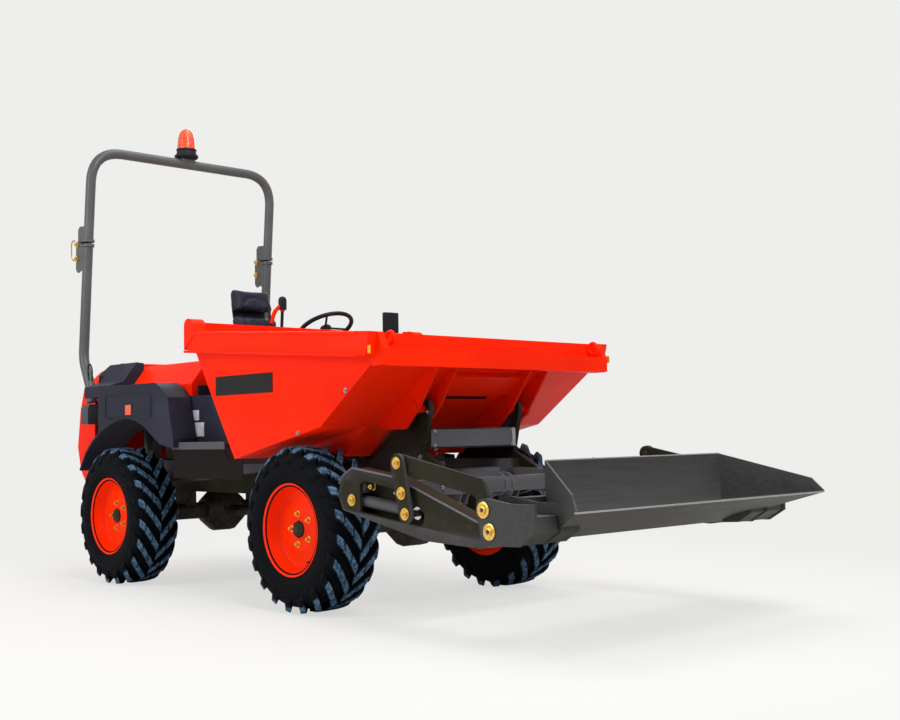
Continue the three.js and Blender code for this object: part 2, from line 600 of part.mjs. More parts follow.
addNode('beacon_base', rod('z', 66, [HOOP_TOP_X, 0, 0], ROPS_TOP_Z + 34 + GAP, LAMP_BASE_TOP), PLASTIC);
const dome = [[0, 0], [59, 0], [54, 70], [44, 108], [26, 128], [0, 135]];
addNode('beacon_lens', toSolid(new THREE.LatheGeometry(dome.map(([r, h]) => new THREE.Vector2(r, h)), 20)
  .rotateX(Math.PI / 2).translate(HOOP_TOP_X, 0, LAMP_BASE_TOP + GAP)), AMBER);

// ---------------------------------------------------------------- skip
const tub = [[SKIP_REAR_X, 1250], [-490, 700], [210, 845], [580, 1110], [606, LIP_Z]];
const well = [[-620, 900], [-490, 700], [40, 706], [210, 845], [300, 912]];
const skipOuter = [[SKIP_REAR_X, RIM_REAR_Z], ...tub, [606, RIM_FRONT_Z]];
const innerTub = inset([[SKIP_REAR_X, 1600], ...tub, [606, 1600]], SKIP_WALL);
const innerWell = inset([...well, [300, 1300], [-620, 1300]], SKIP_WALL);

function rib() {
  const shape = new THREE.Shape();
  shape.moveTo(200, 842);
  shape.lineTo(250, 828);
  shape.lineTo(390, 828);
  shape.lineTo(kx + 46, kz);
  shape.lineTo(612, 1098);
  shape.lineTo(570, 1110);
  shape.closePath();
  return shape;
}

const skip = cut(
  join([
    plate(outline(skipOuter), -SKIP_HALF_W, SKIP_HALF_W),
    plate(outline(well), -SKIP_WELL_HALF_W, SKIP_WELL_HALF_W),
    ...SIDES.flatMap(([, side]) => [
      sidePlate(side, outline([[SKIP_REAR_X, RIM_REAR_Z], [SKIP_REAR_X + 25, RIM_REAR_Z - RIM_DEPTH + 4],
        [612, RIM_FRONT_Z - RIM_DEPTH], [636, RIM_FRONT_Z]]), SKIP_HALF_W - 1, RIM_OUT),
      sidePlate(side, outline([[SKIP_REAR_X, RIM_REAR_Z - 90], [SKIP_REAR_X, EAR_TOP_Z], [-770, EAR_TOP_Z],
        [-745, RIM_REAR_Z - 10]]),
        SKIP_HALF_W - 24, RIM_OUT + 4),
      sidePlate(side, outline([[560, RIM_FRONT_Z - 40], [600, LIP_Z - 74], [LIP_X, LIP_Z - 70], [LIP_X, LIP_Z],
        [636, RIM_FRONT_Z]]), SKIP_HALF_W - 20, SKIP_HALF_W + 17),
    ]),
    plate(outline([[590, LIP_Z - 74], [LIP_X, LIP_Z - 74], [LIP_X, LIP_Z], [590, LIP_Z]]),
      -SKIP_HALF_W, SKIP_HALF_W),
    block(SKIP_REAR_X, SKIP_REAR_X + 20, -SKIP_HALF_W, SKIP_HALF_W, RIM_REAR_Z - 100, 1400),
    ...SIDES.flatMap(([, side]) => RIB_YS.map((y) => sidePlate(side, rib(), y - STEEL / 2, y + STEEL / 2))),
    ...SIDES.map(([, side]) => sidePin(side, SKIP_PIN_R, SKIP_PIVOT, RIB_YS[0], RIB_YS[1])),
    ...SIDES.map(([, side]) => sidePin(side, 38, SKIP_PIVOT, RIB_YS[1], RIB_YS[1] + 14)),
    ...SIDES.map(([, side]) =>
      sideBlock(side, TIP_EYE[0] - 26, TIP_EYE[0] + 26, 24, 24 + STEEL, TIP_EYE[1] - 24, 850)),
  ]),
  plate(outline(innerTub), -SKIP_HALF_W + SKIP_WALL, SKIP_HALF_W - SKIP_WALL),
  plate(outline(innerWell), -SKIP_WELL_HALF_W + SKIP_WALL, SKIP_WELL_HALF_W - SKIP_WALL),
);
addNode('skip', skip, ORANGE);

// ---------------------------------------------------------------- rams
// The barrel's eye turns on its base pin; the rod ends in an eye at its far pin.
function ramParts(y, base, eye, barrelR, rodR, barrelEnd, rodLength) {
  const reach = Math.hypot(eye[0] - base[0], eye[1] - base[1]);
  const eyeR = PIN_R + 12;
  const barrel = cut(
    join([
      strut(barrelR, y, base, eye, 20, barrelEnd, 20),
      rod('y', eyeR, [base[0], 0, base[1]], y - 16, y + 16),
    ]),
    rod('y', bore(PIN_R, 14), [base[0], 0, base[1]], y - 60, y + 60),
    strut(bore(rodR), y, base, eye, 34, barrelEnd + 10),
  );
  const ramRod = join([
    strut(rodR, y, base, eye, reach - rodLength, reach - eyeR + 4),
    rod('y', eyeR, [eye[0], 0, eye[1]], y - 14, y + 14),
  ]);
  return [barrel, ramRod];
}

const [tipBarrel, tipRod] = ramParts(0, TIP_BASE, TIP_EYE, 38, 22, 392, 404);
addNode('tip_ram_barrel', tipBarrel, FRAME_GREY);
addNode('tip_ram_rod', tipRod, CHROME);

for (const [name, side] of SIDES) {
  const [liftBarrel, liftRod] = ramParts(side * LIFT_Y, LIFT_BASE, LIFT_EYE, 30, 16, 300, 298);
  addNode(`lift_ram_barrel_${name}`, liftBarrel, FRAME_GREY);
  addNode(`lift_ram_rod_${name}`, liftRod, CHROME);
  const [tiltBarrel, tiltRod] = ramParts(side * TILT_Y, TILT_BASE, CRANK_LOW, 25, 14, 285, 290);
  addNode(`tilt_ram_barrel_${name}`, tiltBarrel, FRAME_GREY);
  addNode(`tilt_ram_rod_${name}`, tiltRod, CHROME);
}

// ---------------------------------------------------------------- loader
const [sx, sz] = SHOVEL_PIVOT;
const TIP_R = 50;
const armPoints = [[420, 551], [454, 488], [970, 384], [1285, 371], [sx, sz - TIP_R], [sx + TIP_R, sz],
  [sx, sz + TIP_R - 12], [1277, 467], [903, 594], [781, 632], [519, 666], [450, 630]];
const armCavity = inset([[432, 548], [460, 498], [975, 394], [1230, 382], [1230, 470], [890, 586], [776, 620],
  [524, 654], [458, 622]], 4);
const pocket = [[569, 484], [950, 440], [973, 460], [973, 490], [938, 524], [780, 585], [600, 613], [569, 600]];

for (const [name, side] of SIDES) {
  const arm = cut(
    sidePlate(side, outline(armPoints), ARM_IN, ARM_OUT),
    sidePlate(side, outline(armCavity), ARM_IN + ARM_PLATE, ARM_OUT - ARM_PLATE),
    sidePlate(side, outline(pocket), TILT_Y, ARM_OUT + 20),
    sidePin(side, bore(SHAFT_R, SHAFT_SIDES), ARM_PIVOT, ARM_IN - 10, ARM_OUT - ARM_PLATE, SHAFT_SIDES),
    sidePin(side, bore(PIN_R), SHOVEL_PIVOT, ARM_IN - 10, ARM_OUT + 20),
  );
  const pins = [
    sidePin(side, PIN_R, TILT_BASE, ARM_IN + 2, ARM_OUT + 10),
    sidePin(side, PIN_R, CRANK_PIN, ARM_OUT - ARM_PLATE + 1, EAR_OUT + 8),
  ];
  addNode(`arm_${name}`, join([arm, ...pins]), OLIVE);
}

const CRANK_SPREAD = 18;
const crankShape = strap(LIFT_EYE, ARM_PIVOT, 34);
const crankArm = strap(ARM_PIVOT, CROSS_BEAM, 50);
addNode('arm_cross_beam', cut(join([
  block(CROSS_BEAM[0] - 42, CROSS_BEAM[0] + 42, -ARM_IN + GAP, ARM_IN - GAP,
    CROSS_BEAM[1] - 32, CROSS_BEAM[1] + 32),
  ...SIDES.flatMap(([, side]) => [-CRANK_SPREAD - 8, CRANK_SPREAD].flatMap((offset) => [
    sidePlate(side, crankShape, LIFT_Y + offset, LIFT_Y + offset + 8),
    sidePlate(side, crankArm, LIFT_Y + offset, LIFT_Y + offset + 8),
  ])),
]), rod('y', bore(SHAFT_R, SHAFT_SIDES), [bx, 0, bz], -400, 400, SHAFT_SIDES)), OLIVE);

for (const [name, side] of SIDES) {
  addNode(`bellcrank_${name}`, cut(
    join([
      sidePlate(side, strap(CRANK_TOP, CRANK_PIN, 38), EAR_IN, EAR_OUT),
      sidePlate(side, strap(CRANK_PIN, CRANK_LOW, 38), EAR_IN, EAR_OUT),
      sidePin(side, PIN_R, CRANK_TOP, LINK_IN - 6, EAR_OUT + 8),
      sidePin(side, PIN_R, CRANK_LOW, TILT_Y + 20, EAR_OUT + 8),
    ]),
    sidePin(side, bore(PIN_R), CRANK_PIN, ARM_IN, EAR_OUT + 20),
  ), OLIVE);
}

const LINK_BEND = [1300, 600];
for (const [name, side] of SIDES) {
  addNode(`shovel_link_${name}`, cut(
    join([
      sidePlate(side, strap(CRANK_TOP, LINK_BEND, 36), LINK_IN, LINK_OUT),
      sidePlate(side, strap(LINK_BEND, LINK_PIN, 36), LINK_IN, LINK_OUT),
    ]),
    sidePin(side, bore(PIN_R), CRANK_TOP, ARM_IN, EAR_OUT + 20),
  ), OLIVE);
}

// ---------------------------------------------------------------- shovel
const hull = (points) => toSolid(new ConvexGeometry(points.map(([x, y, z]) => new THREE.Vector3(x, y, z))));
const mirrored = (points) => points.flatMap(([x, y, z]) => [[x, y, z], [x, -y, z]]);
const FLARE = (SHOVEL_LIP_HALF_W - SHOVEL_BACK_HALF_W) / (SHOVEL_LIP_X - SHOVEL_BACK_X);
const FLOOR_RISE = (SHOVEL_LIP_Z - SHOVEL_LOW_Z) / (SHOVEL_LIP_X - SHOVEL_BACK_X);
const shovelOuter = hull(mirrored([
  [SHOVEL_BACK_X, SHOVEL_BACK_HALF_W, SHOVEL_TOP_Z],
  [SHOVEL_BACK_X, SHOVEL_BACK_HALF_W, SHOVEL_LOW_Z],
  [SHOVEL_LIP_X, SHOVEL_LIP_HALF_W, SHOVEL_LIP_Z],
  [SHOVEL_LIP_X, SHOVEL_LIP_HALF_W, SHOVEL_LIP_Z + 8],
  [SHOVEL_LIP_X - 42, SHOVEL_LIP_HALF_W - 42 * FLARE, SHOVEL_LIP_Z + 62],
]));
const innerX = SHOVEL_BACK_X + SHOVEL_PLATE;
const innerY = SHOVEL_BACK_HALF_W + SHOVEL_PLATE * FLARE - SHOVEL_PLATE * Math.hypot(1, FLARE);
const innerZ = SHOVEL_LOW_Z + SHOVEL_PLATE * FLOOR_RISE + SHOVEL_PLATE * Math.hypot(1, FLOOR_RISE);
const reachX = SHOVEL_LIP_X + 100 - innerX;
const shovelInner = hull(mirrored([
  [innerX, innerY, innerZ],
  [innerX, innerY, 1000],
  [innerX + reachX, innerY + reachX * FLARE, innerZ + reachX * FLOOR_RISE],
  [innerX + reachX, innerY + reachX * FLARE, 1000],
]));

function ear(side) {
  const face = new THREE.Shape();
  face.moveTo(1600, 440);
  face.lineTo(1600, 545);
  face.lineTo(1480, 545);
  face.lineTo(LINK_PIN[0] + 10, LINK_PIN[1] + 44);
  face.absarc(LINK_PIN[0], LINK_PIN[1], 42, Math.PI / 2, Math.PI, false);
  face.lineTo(sx - 52, sz);
  face.absarc(sx, sz, 52, Math.PI, 1.5 * Math.PI, false);
  face.lineTo(1520, 392);
  face.closePath();
  const web = outline([[1440, 392], [1520, 396], [1590, 440], [1590, 500], [1440, 500]]);
  return join([
    sidePlate(side, face, EAR_IN, EAR_OUT),
    sidePlate(side, face, 664, 676),
    sidePlate(side, web, 560, EAR_IN + 1),
    sidePin(side, PIN_R, SHOVEL_PIVOT, 660, EAR_OUT + 8),
    sidePin(side, PIN_R, LINK_PIN, EAR_IN - 1, EAR_OUT + 8),
  ]);
}
addNode('shovel', join([
  cut(join([shovelOuter, ear(1), ear(-1)]), shovelInner),
  block(SHOVEL_BACK_X - 60, SHOVEL_BACK_X + 1, -670, 670, 430, 560),
]), SHOVEL_GREY);

// ---------------------------------------------------------------- origin
machine.position.x = -(SHOVEL_LIP_X + COWL_REAR_X) / 2;
machine.updateMatrixWorld(true);

export default machine;
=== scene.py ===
# %% [markdown]
# # A site dumper with its own loading shovel
# The machine is a small four-wheeled dumper. It carries a skip that tips forward, and a wide shovel on
# two arms that fills the skip. The solid model gives every size and every joint, and this script gives
# the machine its looks: rounded edges, real tyres and rims, cushions, lamps, bolts, paint and rubber.
# A model like this could be sculpted by hand, but here each surface is worked out from a formula, so a
# size can be changed and the surface follows it.

# %% Load the solid model
import json
import math

import bmesh
import bpy
import numpy as np
from mathutils import Matrix, Vector

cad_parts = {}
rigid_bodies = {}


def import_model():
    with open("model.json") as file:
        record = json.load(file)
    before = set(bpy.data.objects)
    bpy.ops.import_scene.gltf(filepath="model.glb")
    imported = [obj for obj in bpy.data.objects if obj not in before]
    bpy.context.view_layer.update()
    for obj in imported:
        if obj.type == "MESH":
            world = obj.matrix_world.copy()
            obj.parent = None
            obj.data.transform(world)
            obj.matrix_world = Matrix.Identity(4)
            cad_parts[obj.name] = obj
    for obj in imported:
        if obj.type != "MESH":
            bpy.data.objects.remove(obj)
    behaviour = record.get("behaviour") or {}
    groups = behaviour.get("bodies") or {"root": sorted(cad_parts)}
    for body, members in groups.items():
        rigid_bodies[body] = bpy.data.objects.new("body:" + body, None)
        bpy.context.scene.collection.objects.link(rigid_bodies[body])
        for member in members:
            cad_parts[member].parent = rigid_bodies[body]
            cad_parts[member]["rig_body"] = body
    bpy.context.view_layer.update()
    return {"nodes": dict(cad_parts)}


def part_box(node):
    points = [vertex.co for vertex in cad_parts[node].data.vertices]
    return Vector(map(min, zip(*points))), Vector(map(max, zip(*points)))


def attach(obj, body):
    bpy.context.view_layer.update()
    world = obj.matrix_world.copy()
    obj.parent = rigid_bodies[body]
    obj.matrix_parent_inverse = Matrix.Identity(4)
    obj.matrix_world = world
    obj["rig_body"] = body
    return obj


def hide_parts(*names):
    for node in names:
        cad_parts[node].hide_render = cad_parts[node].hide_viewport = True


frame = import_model()
tyre_low, tyre_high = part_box("tyre_front_left")
FRONT_AXLE_X = (tyre_low.x + tyre_high.x) / 2

# %% [markdown]
# Sizes on a machine are easiest to give in millimetres from a fixed place, so one helper turns them
# into metres in the model's own frame. Here x counts forward from the middle of the front axle, y to
# the driver's left, and z up from the ground.

# %% Millimetres from the front axle
def place(points):
    """Millimetres from the front axle as metres in the frame: p / 1000, then x moved by the axle's x."""
    return np.asarray(points, float) / 1000 + np.array([FRONT_AXLE_X, 0, 0])


def section(corners):
    """Corners (x, z) in millimetres from the front axle, as a section in metres seen from the side."""
    return place([(x, 0, z) for x, z in corners])[:, [0, 2]]


def rectangle(x_low, z_low, x_high, z_high):
    """The four corners of a rectangle seen from the side."""
    return [(x_low, z_low), (x_high, z_low), (x_high, z_high), (x_low, z_high)]


SIDES = {"left": 1.0, "right": -1.0}
print("10 mm up at the axle is", place([(0, 0, 10)])[0].round(4))

# %% [markdown]
# A finish in Blender is a small network of nodes. Drawing it by hand is slow to read back, so one class
# wraps a node's output and lets Python's own signs build the Math nodes: `1 - mask` is a Math node
# too. Every other kind of node comes from a single method.

# %% Finishes written as expressions
class Link:
    """One output of a node. Adding, multiplying or comparing it adds a Math node."""

    def __init__(self, finish, socket):
        self.finish, self.socket = finish, socket

    def math(self, operation, *others):
        """A Math node: the operation on the values given after it."""
        settings = {"operation": operation}
        return self.finish.node("ShaderNodeMath", settings, {i: v for i, v in enumerate(others)})

    def __add__(self, other):
        return self.math("ADD", self, other)

    def __radd__(self, other):
        return self.math("ADD", other, self)

    def __sub__(self, other):
        return self.math("SUBTRACT", self, other)

    def __rsub__(self, other):
        return self.math("SUBTRACT", other, self)

    def __mul__(self, other):
        return self.math("MULTIPLY", self, other)

    def __rmul__(self, other):
        return self.math("MULTIPLY", other, self)

    def __truediv__(self, other):
        return self.math("DIVIDE", self, other)

    def ramp(self, low, high):
        """A smooth step from 0 at low to 1 at high; high may be the smaller number."""
        settings = {"interpolation_type": "SMOOTHSTEP"}
        flip = low > high
        if flip:
            low, high = high, low
        step = self.finish.node("ShaderNodeMapRange", settings,
                                {"Value": self, "From Min": low, "From Max": high})
        return 1 - step if flip else step


class Finish:
    """A material on the Principled shader, with helpers that add its nodes."""

    def __init__(self, name, **fixed):
        self.material = bpy.data.materials.new(name)
        self.material.use_nodes = True
        self.tree = self.material.node_tree
        self.shader = self.tree.nodes["Principled BSDF"]
        for socket, value in fixed.items():
            self.shader.inputs[socket.replace("_", " ")].default_value = value
        self.position = self.node("ShaderNodeTexCoord", output="Object")

    def node(self, kind, settings=None, inputs=None, output=0):
        """Adds a node: its settings first, then its sockets by number or name. Gives one output."""
        node = self.tree.nodes.new(kind)
        for key, value in (settings or {}).items():
            if key == "stops":
                for i, (at, colour) in enumerate(value):
                    stop = node.color_ramp.elements[i] if i < 2 else node.color_ramp.elements.new(at)
                    stop.position, stop.color = at, (*colour, 1)
            else:
                setattr(node, key, value)
        for key, value in (inputs or {}).items():
            sockets = [s for s in node.inputs if s.enabled]
            target = sockets[key] if isinstance(key, int) else next(s for s in sockets if s.name == key)
            if isinstance(value, Link):
                self.tree.links.new(value.socket, target)
            else:
                target.default_value = value
        outputs = [s for s in node.outputs if s.enabled]
        socket = outputs[output] if isinstance(output, int) else next(s for s in outputs if s.name == output)
        return Link(self, socket)

    def noise(self, scale, detail=3.0, roughness=0.5, stretch=None):
        """Cloudy noise on the piece's own coordinates, about scale blobs a metre."""
        where = self.position
        if stretch:
            where = self.node("ShaderNodeMapping", inputs={"Vector": where, "Scale": stretch})
        return self.node("ShaderNodeTexNoise", inputs={"Vector": where, "Scale": scale, "Detail": detail,
                                                       "Roughness": roughness})

    def mix(self, share, first, second):
        """A colour between first and second, by a share from 0 to 1."""
        first, second = (c if isinstance(c, Link) else (*c, 1) for c in (first, second))
        return self.node("ShaderNodeMix", {"data_type": "RGBA"}, {0: share, 1: first, 2: second})

    def axis(self, which):
        """x, y or z of the place on the piece, in metres."""
        return self.node("ShaderNodeSeparateXYZ", inputs={0: self.position},
                         output="XYZ".index(which.upper()))

    def bump(self, height, depth):
        """Feeds a height into the shader's normal, where 1 stands for depth metres."""
        normal = self.node("ShaderNodeBump", inputs={"Height": height, "Distance": depth,
                                                     "Strength": 1.0})
        self.tree.links.new(normal.socket, self.shader.inputs["Normal"])

    def feed(self, **links):
        """Joins node outputs to the shader's sockets, whose names are given with underscores."""
        for socket, link in links.items():
            self.tree.links.new(link.socket, self.shader.inputs[socket.replace("_", " ")])
        return self


# %% [markdown]
# Most of the machine is painted steel. Real sprayed paint has a very fine orange-peel skin, a clear
# top layer, small changes of tone from panel to panel, and dust where the wheels throw it up. One
# function makes every painted finish, and only the numbers differ.

# %% Paint
# The third colour is a painted highlight for sharp edges; road dust and scuffs are real marks.
ROAD_DUST, SCUFF, EDGE_HIGHLIGHT_GREY = (0.13, 0.105, 0.075), (0.16, 0.15, 0.14), (0.17, 0.17, 0.20)


def paint(name, colour, dark, roughness, coat, dust=0.3, speckle=0.0, gloss=0.06, edge_highlight=0.0):
    """Sprayed paint: base colour with cloudy tone changes, road dust below knee height, orange-peel bump."""
    f = Finish(name, Coat_Roughness=0.12, Specular_IOR_Level=gloss)
    clouds = f.noise(2.3, 4.0, 0.6)
    fine = f.noise(140, 3.0, 0.6)
    colour_now = f.mix(clouds.ramp(0.35, 0.7), colour, dark)
    height = f.axis("z")
    dusty = height.ramp(0.75, 0.25) * f.noise(9, 6.0, 0.65).ramp(0.42, 0.72) * dust
    scuffs = f.noise(34, 8.0, 0.75, (1.0, 1.0, 0.35)).ramp(0.655, 0.70) * speckle
    colour_now = f.mix(dusty, colour_now, ROAD_DUST)
    colour_now = f.mix(scuffs, colour_now, SCUFF)
    # Sharp edges, found by pointiness, are made lighter: a painted highlight along each edge.
    if edge_highlight:
        edges = f.node("ShaderNodeNewGeometry", output="Pointiness").ramp(0.53, 0.60)
        colour_now = f.mix(edges * edge_highlight, colour_now, EDGE_HIGHLIGHT_GREY)
    f.feed(Base_Color=colour_now, Roughness=roughness + clouds * 0.06 + dusty * 0.5 + fine * 0.04,
           Coat_Weight=coat * (1 - dusty))
    f.bump(f.noise(620, 2.0, 0.5) + fine * 0.6, 0.00012)
    return f.material


ORANGE = paint("orange_paint", (0.97, 0.020, 0.0), (0.90, 0.015, 0.0), 0.34, 0.04, dust=0.08)
RIM_ORANGE = paint("rim_paint", (0.97, 0.034, 0.0), (0.88, 0.024, 0.0), 0.42, 0.02, dust=0.10, speckle=0.2)
# The olive chassis paint gets the painted highlight along its sharp edges.
OLIVE = paint("olive_chassis_paint", (0.024, 0.022, 0.013), (0.016, 0.014, 0.009), 0.44, 0.02, dust=0.25,
              speckle=0.5, edge_highlight=0.7)
FRAME_GREY = paint("ram_grey_paint", (0.095, 0.096, 0.106), (0.070, 0.071, 0.080), 0.34, 0.12, dust=0.2,
                   speckle=0.4)
PLATE_GREY = paint("cross_plate_grey", (0.125, 0.130, 0.150), (0.095, 0.100, 0.118), 0.34, 0.10, dust=0.1,
                   speckle=0.4)
# Near-black frame paint for the plate below the sill: painted shade under the body.
SHADED_FRAME = paint("shaded_frame_paint", (0.009, 0.0065, 0.005), (0.005, 0.004, 0.003), 0.5, 0.0, dust=0.15)
HOOP_GREY = paint("roll_bar_paint", (0.088, 0.096, 0.096), (0.066, 0.073, 0.074), 0.34, 0.12, dust=0.1,
                  speckle=0.2, gloss=0.2)
paints = (ORANGE, RIM_ORANGE, OLIVE, FRAME_GREY, PLATE_GREY, SHADED_FRAME, HOOP_GREY)
print("painted finishes", [m.name for m in paints])

# %% [markdown]
# Cast iron, bare shovel steel, chrome and zinc-plated bolts each catch light in their own way. Cast
# parts are rough and oily, the shovel is scraped along its length by soil, and the zinc of the bolts
# has a yellow passivated tint. The shovel is one piece in the solid model, but its ears and ends are
# painted olive, so its finish tells them apart by where they lie.

# %% Metals
BACK_X = FRONT_AXLE_X + 1.427
END_PLATE_Y, END_PLATE_LEAN = 0.5675, 0.677


def cast_iron():
    """Rough grey castings with lumps and darker patches of oil."""
    f = Finish("cast_iron", Metallic=0.35, Specular_IOR_Level=0.25)
    lumps = f.noise(45, 6.0, 0.65)
    oil = f.noise(7, 4.0, 0.6).ramp(0.45, 0.65)
    base = f.mix(lumps.ramp(0.4, 0.7), (0.050, 0.044, 0.038), (0.095, 0.085, 0.074))
    f.feed(Base_Color=f.mix(oil * 0.6, base, (0.018, 0.015, 0.012)), Roughness=0.72 - oil * 0.3)
    f.bump(lumps + f.noise(220, 4.0, 0.6) * 0.4, 0.0008)
    return f.material


def shovel_steel():
    """Grey primer scraped by soil: scratches along y, rust-brown blooms, bright rubbed patches.
    The ears behind the back plate, and all that lies past the plane of an end plate, are olive."""
    f = Finish("shovel_steel", Specular_IOR_Level=0.12)
    scratch = f.noise(60, 8.0, 0.7, (1.0, 0.06, 1.0))
    bloom = f.noise(5.0, 6.0, 0.62).ramp(0.52, 0.75)
    rubbed = f.noise(11, 6.0, 0.7, (1.0, 0.3, 1.0)).ramp(0.55, 0.8)
    base = f.mix(scratch.ramp(0.35, 0.7), (0.066, 0.069, 0.076), (0.092, 0.096, 0.106))
    base = f.mix(bloom * 0.55, base, (0.052, 0.040, 0.032))
    base = f.mix(rubbed * 0.35, base, (0.13, 0.13, 0.14))
    past_end_plate = f.axis("y").math("ABSOLUTE") - END_PLATE_Y - (f.axis("x") - BACK_X) * END_PLATE_LEAN
    ears = f.axis("x").ramp(BACK_X + 0.004, BACK_X - 0.002).math("MAXIMUM", past_end_plate.ramp(0.020, 0.026))
    ends = past_end_plate.ramp(0.001, 0.005) * (1 - ears)
    facing = f.node("ShaderNodeNewGeometry", output="Normal")
    facing_up = f.node("ShaderNodeSeparateXYZ", inputs={0: facing}, output=2)
    # Faces turned upwards are made lighter: painted light on the shovel's floor, which also stands for its
    # rubbed steel.
    base = f.mix(facing_up.ramp(0.6, 0.9) * 0.7, base, (0.15, 0.15, 0.16))
    # Faces turned downwards are made darker: painted shade on the undersides.
    base = f.mix(facing_up.ramp(-0.25, -0.6), base, (0.020, 0.018, 0.012))
    base = f.mix(ends * 0.75, base, (0.050, 0.022, 0.020))
    f.feed(Base_Color=f.mix(ears, base, (0.024, 0.021, 0.013)),
           Roughness=0.40 + scratch * 0.22 - rubbed * 0.1, Metallic=0.12 - ears * 0.12)
    f.bump(scratch, 0.0004)
    return f.material


def plated(name, light, dark, roughness):
    """Plated or polished metal with faint handling marks."""
    f = Finish(name, Metallic=1.0)
    marks = f.noise(120, 5.0, 0.6)
    f.feed(Base_Color=f.mix(marks.ramp(0.4, 0.7), light, dark), Roughness=roughness + marks * 0.14)
    f.bump(marks, 0.0001)
    return f.material


CAST = cast_iron()
SHOVEL_STEEL = shovel_steel()
CHROME = plated("chromed_rod", (0.72, 0.73, 0.75), (0.60, 0.61, 0.63), 0.10)
ZINC = plated("yellow_zinc", (0.78, 0.52, 0.13), (0.50, 0.30, 0.06), 0.24)
STEEL = plated("bare_steel", (0.42, 0.42, 0.43), (0.30, 0.29, 0.28), 0.30)
print("metals", [m.name for m in (CAST, SHOVEL_STEEL, CHROME, ZINC, STEEL)])

# %% [markdown]
# The fenders, console and seat are dull and grained. A printed grain would show its repeats, so this one
# is a smooth cell pattern on the piece's own place. The tyres are one mesh with one finish, and a
# number stored on each point says whether it lies on top of a block.

# %% Plastics, vinyl and rubber
def moulded_plastic(name, colour, pale):
    """Textured black plastic: fine leather-like grain, slightly paler where it is handled."""
    f = Finish(name, Specular_IOR_Level=0.15)
    leather = f.node("ShaderNodeTexVoronoi", {"feature": "SMOOTH_F1"}, {"Vector": f.position, "Scale": 330.0})
    handled = f.noise(3.5, 3.0, 0.5).ramp(0.42, 0.72)
    f.feed(Base_Color=f.mix(handled, colour, pale), Roughness=0.46 + leather * 0.2)
    f.bump(leather, 0.00025)
    return f.material


def tyre_rubber():
    """Black rubber whose lug faces, marked by the lug attribute, are paler and blue-grey."""
    f = Finish("tyre_rubber", Specular_IOR_Level=0.05)
    lug = f.node("ShaderNodeAttribute", {"attribute_name": "lug"}, output="Fac")
    cloud = f.noise(60, 6.0, 0.7)
    side = f.mix(cloud.ramp(0.35, 0.75), (0.0012, 0.0014, 0.0024), (0.004, 0.005, 0.008))
    top = f.mix(cloud.ramp(0.38, 0.62), (0.018, 0.045, 0.085), (0.105, 0.190, 0.290))
    f.feed(Base_Color=f.mix(lug.ramp(0.35, 0.9), side, top), Roughness=0.58 + cloud * 0.2)
    f.bump(f.noise(420, 4.0, 0.6) + cloud, 0.0006)
    return f.material


def vinyl():
    """Blue-black seat vinyl with a pressed grain."""
    f = Finish("seat_vinyl", Specular_IOR_Level=0.18)
    grain = f.node("ShaderNodeTexVoronoi", {"feature": "SMOOTH_F1"}, {"Vector": f.position, "Scale": 420.0})
    soft = f.noise(14, 4.0, 0.6)
    f.feed(Base_Color=f.mix(soft.ramp(0.35, 0.7), (0.008, 0.009, 0.020), (0.017, 0.018, 0.036)),
           Roughness=0.42 + grain * 0.25)
    f.bump(grain + soft * 0.4, 0.0004)
    return f.material


PLASTIC = moulded_plastic("black_plastic", (0.009, 0.010, 0.015), (0.017, 0.020, 0.028))
FENDER = moulded_plastic("fender_plastic", (0.012, 0.013, 0.025), (0.022, 0.024, 0.042))
RUBBER = tyre_rubber()
VINYL = vinyl()
print("soft and moulded finishes", [m.name for m in (PLASTIC, FENDER, RUBBER, VINYL)])

# %% [markdown]
# The beacon and the reflectors are clear plastic moulded with fine ridges. Solid colour with a ridged
# surface looks much the same and is far quicker to draw than real glass. Labels are flat and bare.

# %% Lamp, reflector and label finishes
def glowing_plastic(name, colour, deep):
    """Moulded lamp plastic: two tones of one colour, and fine ridges across its height."""
    f = Finish(name, Roughness=0.16, Coat_Weight=0.3, Specular_IOR_Level=0.4)
    facet = f.noise(90, 2.0, 0.5)
    f.feed(Base_Color=f.mix(facet.ramp(0.4, 0.65), colour, deep))
    f.bump(f.node("ShaderNodeTexWave", {"bands_direction": "Z"}, {"Vector": f.position, "Scale": 55.0}),
           0.0006)
    return f.material


AMBER = glowing_plastic("amber_lens", (0.95, 0.085, 0.002), (0.55, 0.025, 0.0))
REFLECTOR = glowing_plastic("orange_reflector", (0.90, 0.10, 0.01), (0.65, 0.05, 0.005))


def label(name, colour, other):
    """A blank plate or sticker with faint print-roller streaks."""
    f = Finish(name, Roughness=0.5, Specular_IOR_Level=0.2)
    f.feed(Base_Color=f.mix(f.noise(25, 3.0, 0.5).ramp(0.4, 0.7), colour, other))
    f.bump(f.noise(300, 2.0, 0.5), 0.00005)
    return f.material


BLACK_LABEL = label("blank_black_plate", (0.002, 0.002, 0.002), (0.004, 0.004, 0.004))
WHITE_LABEL = label("blank_white_sticker", (0.55, 0.56, 0.60), (0.40, 0.41, 0.46))
YELLOW_TAG = label("yellow_tag", (0.85, 0.42, 0.02), (0.62, 0.26, 0.01))
print("labels", [m.name for m in (AMBER, REFLECTOR, BLACK_LABEL, WHITE_LABEL, YELLOW_TAG)])

# %% [markdown]
# ## From numbers to meshes
# Every new piece is a grid of points. A grid of rows and columns becomes quads between neighbours, and
# may close on itself in either direction. The work is done on whole arrays, which is quick and keeps
# the formula in view.

# %% Grid, piece and surface helpers
def grid_faces(rows, columns, close_rows=False, close_columns=False):
    """Quads between neighbours of a rows x columns grid of points numbered row by row."""
    i = np.arange(rows if close_rows else rows - 1)
    j = np.arange(columns if close_columns else columns - 1)
    i, j = np.meshgrid(i, j, indexing="ij")
    a, b = i * columns + j, i * columns + (j + 1) % columns
    c, d = ((i + 1) % rows) * columns + (j + 1) % columns, ((i + 1) % rows) * columns + j
    return np.stack([a, b, c, d], -1).reshape(-1, 4).tolist()


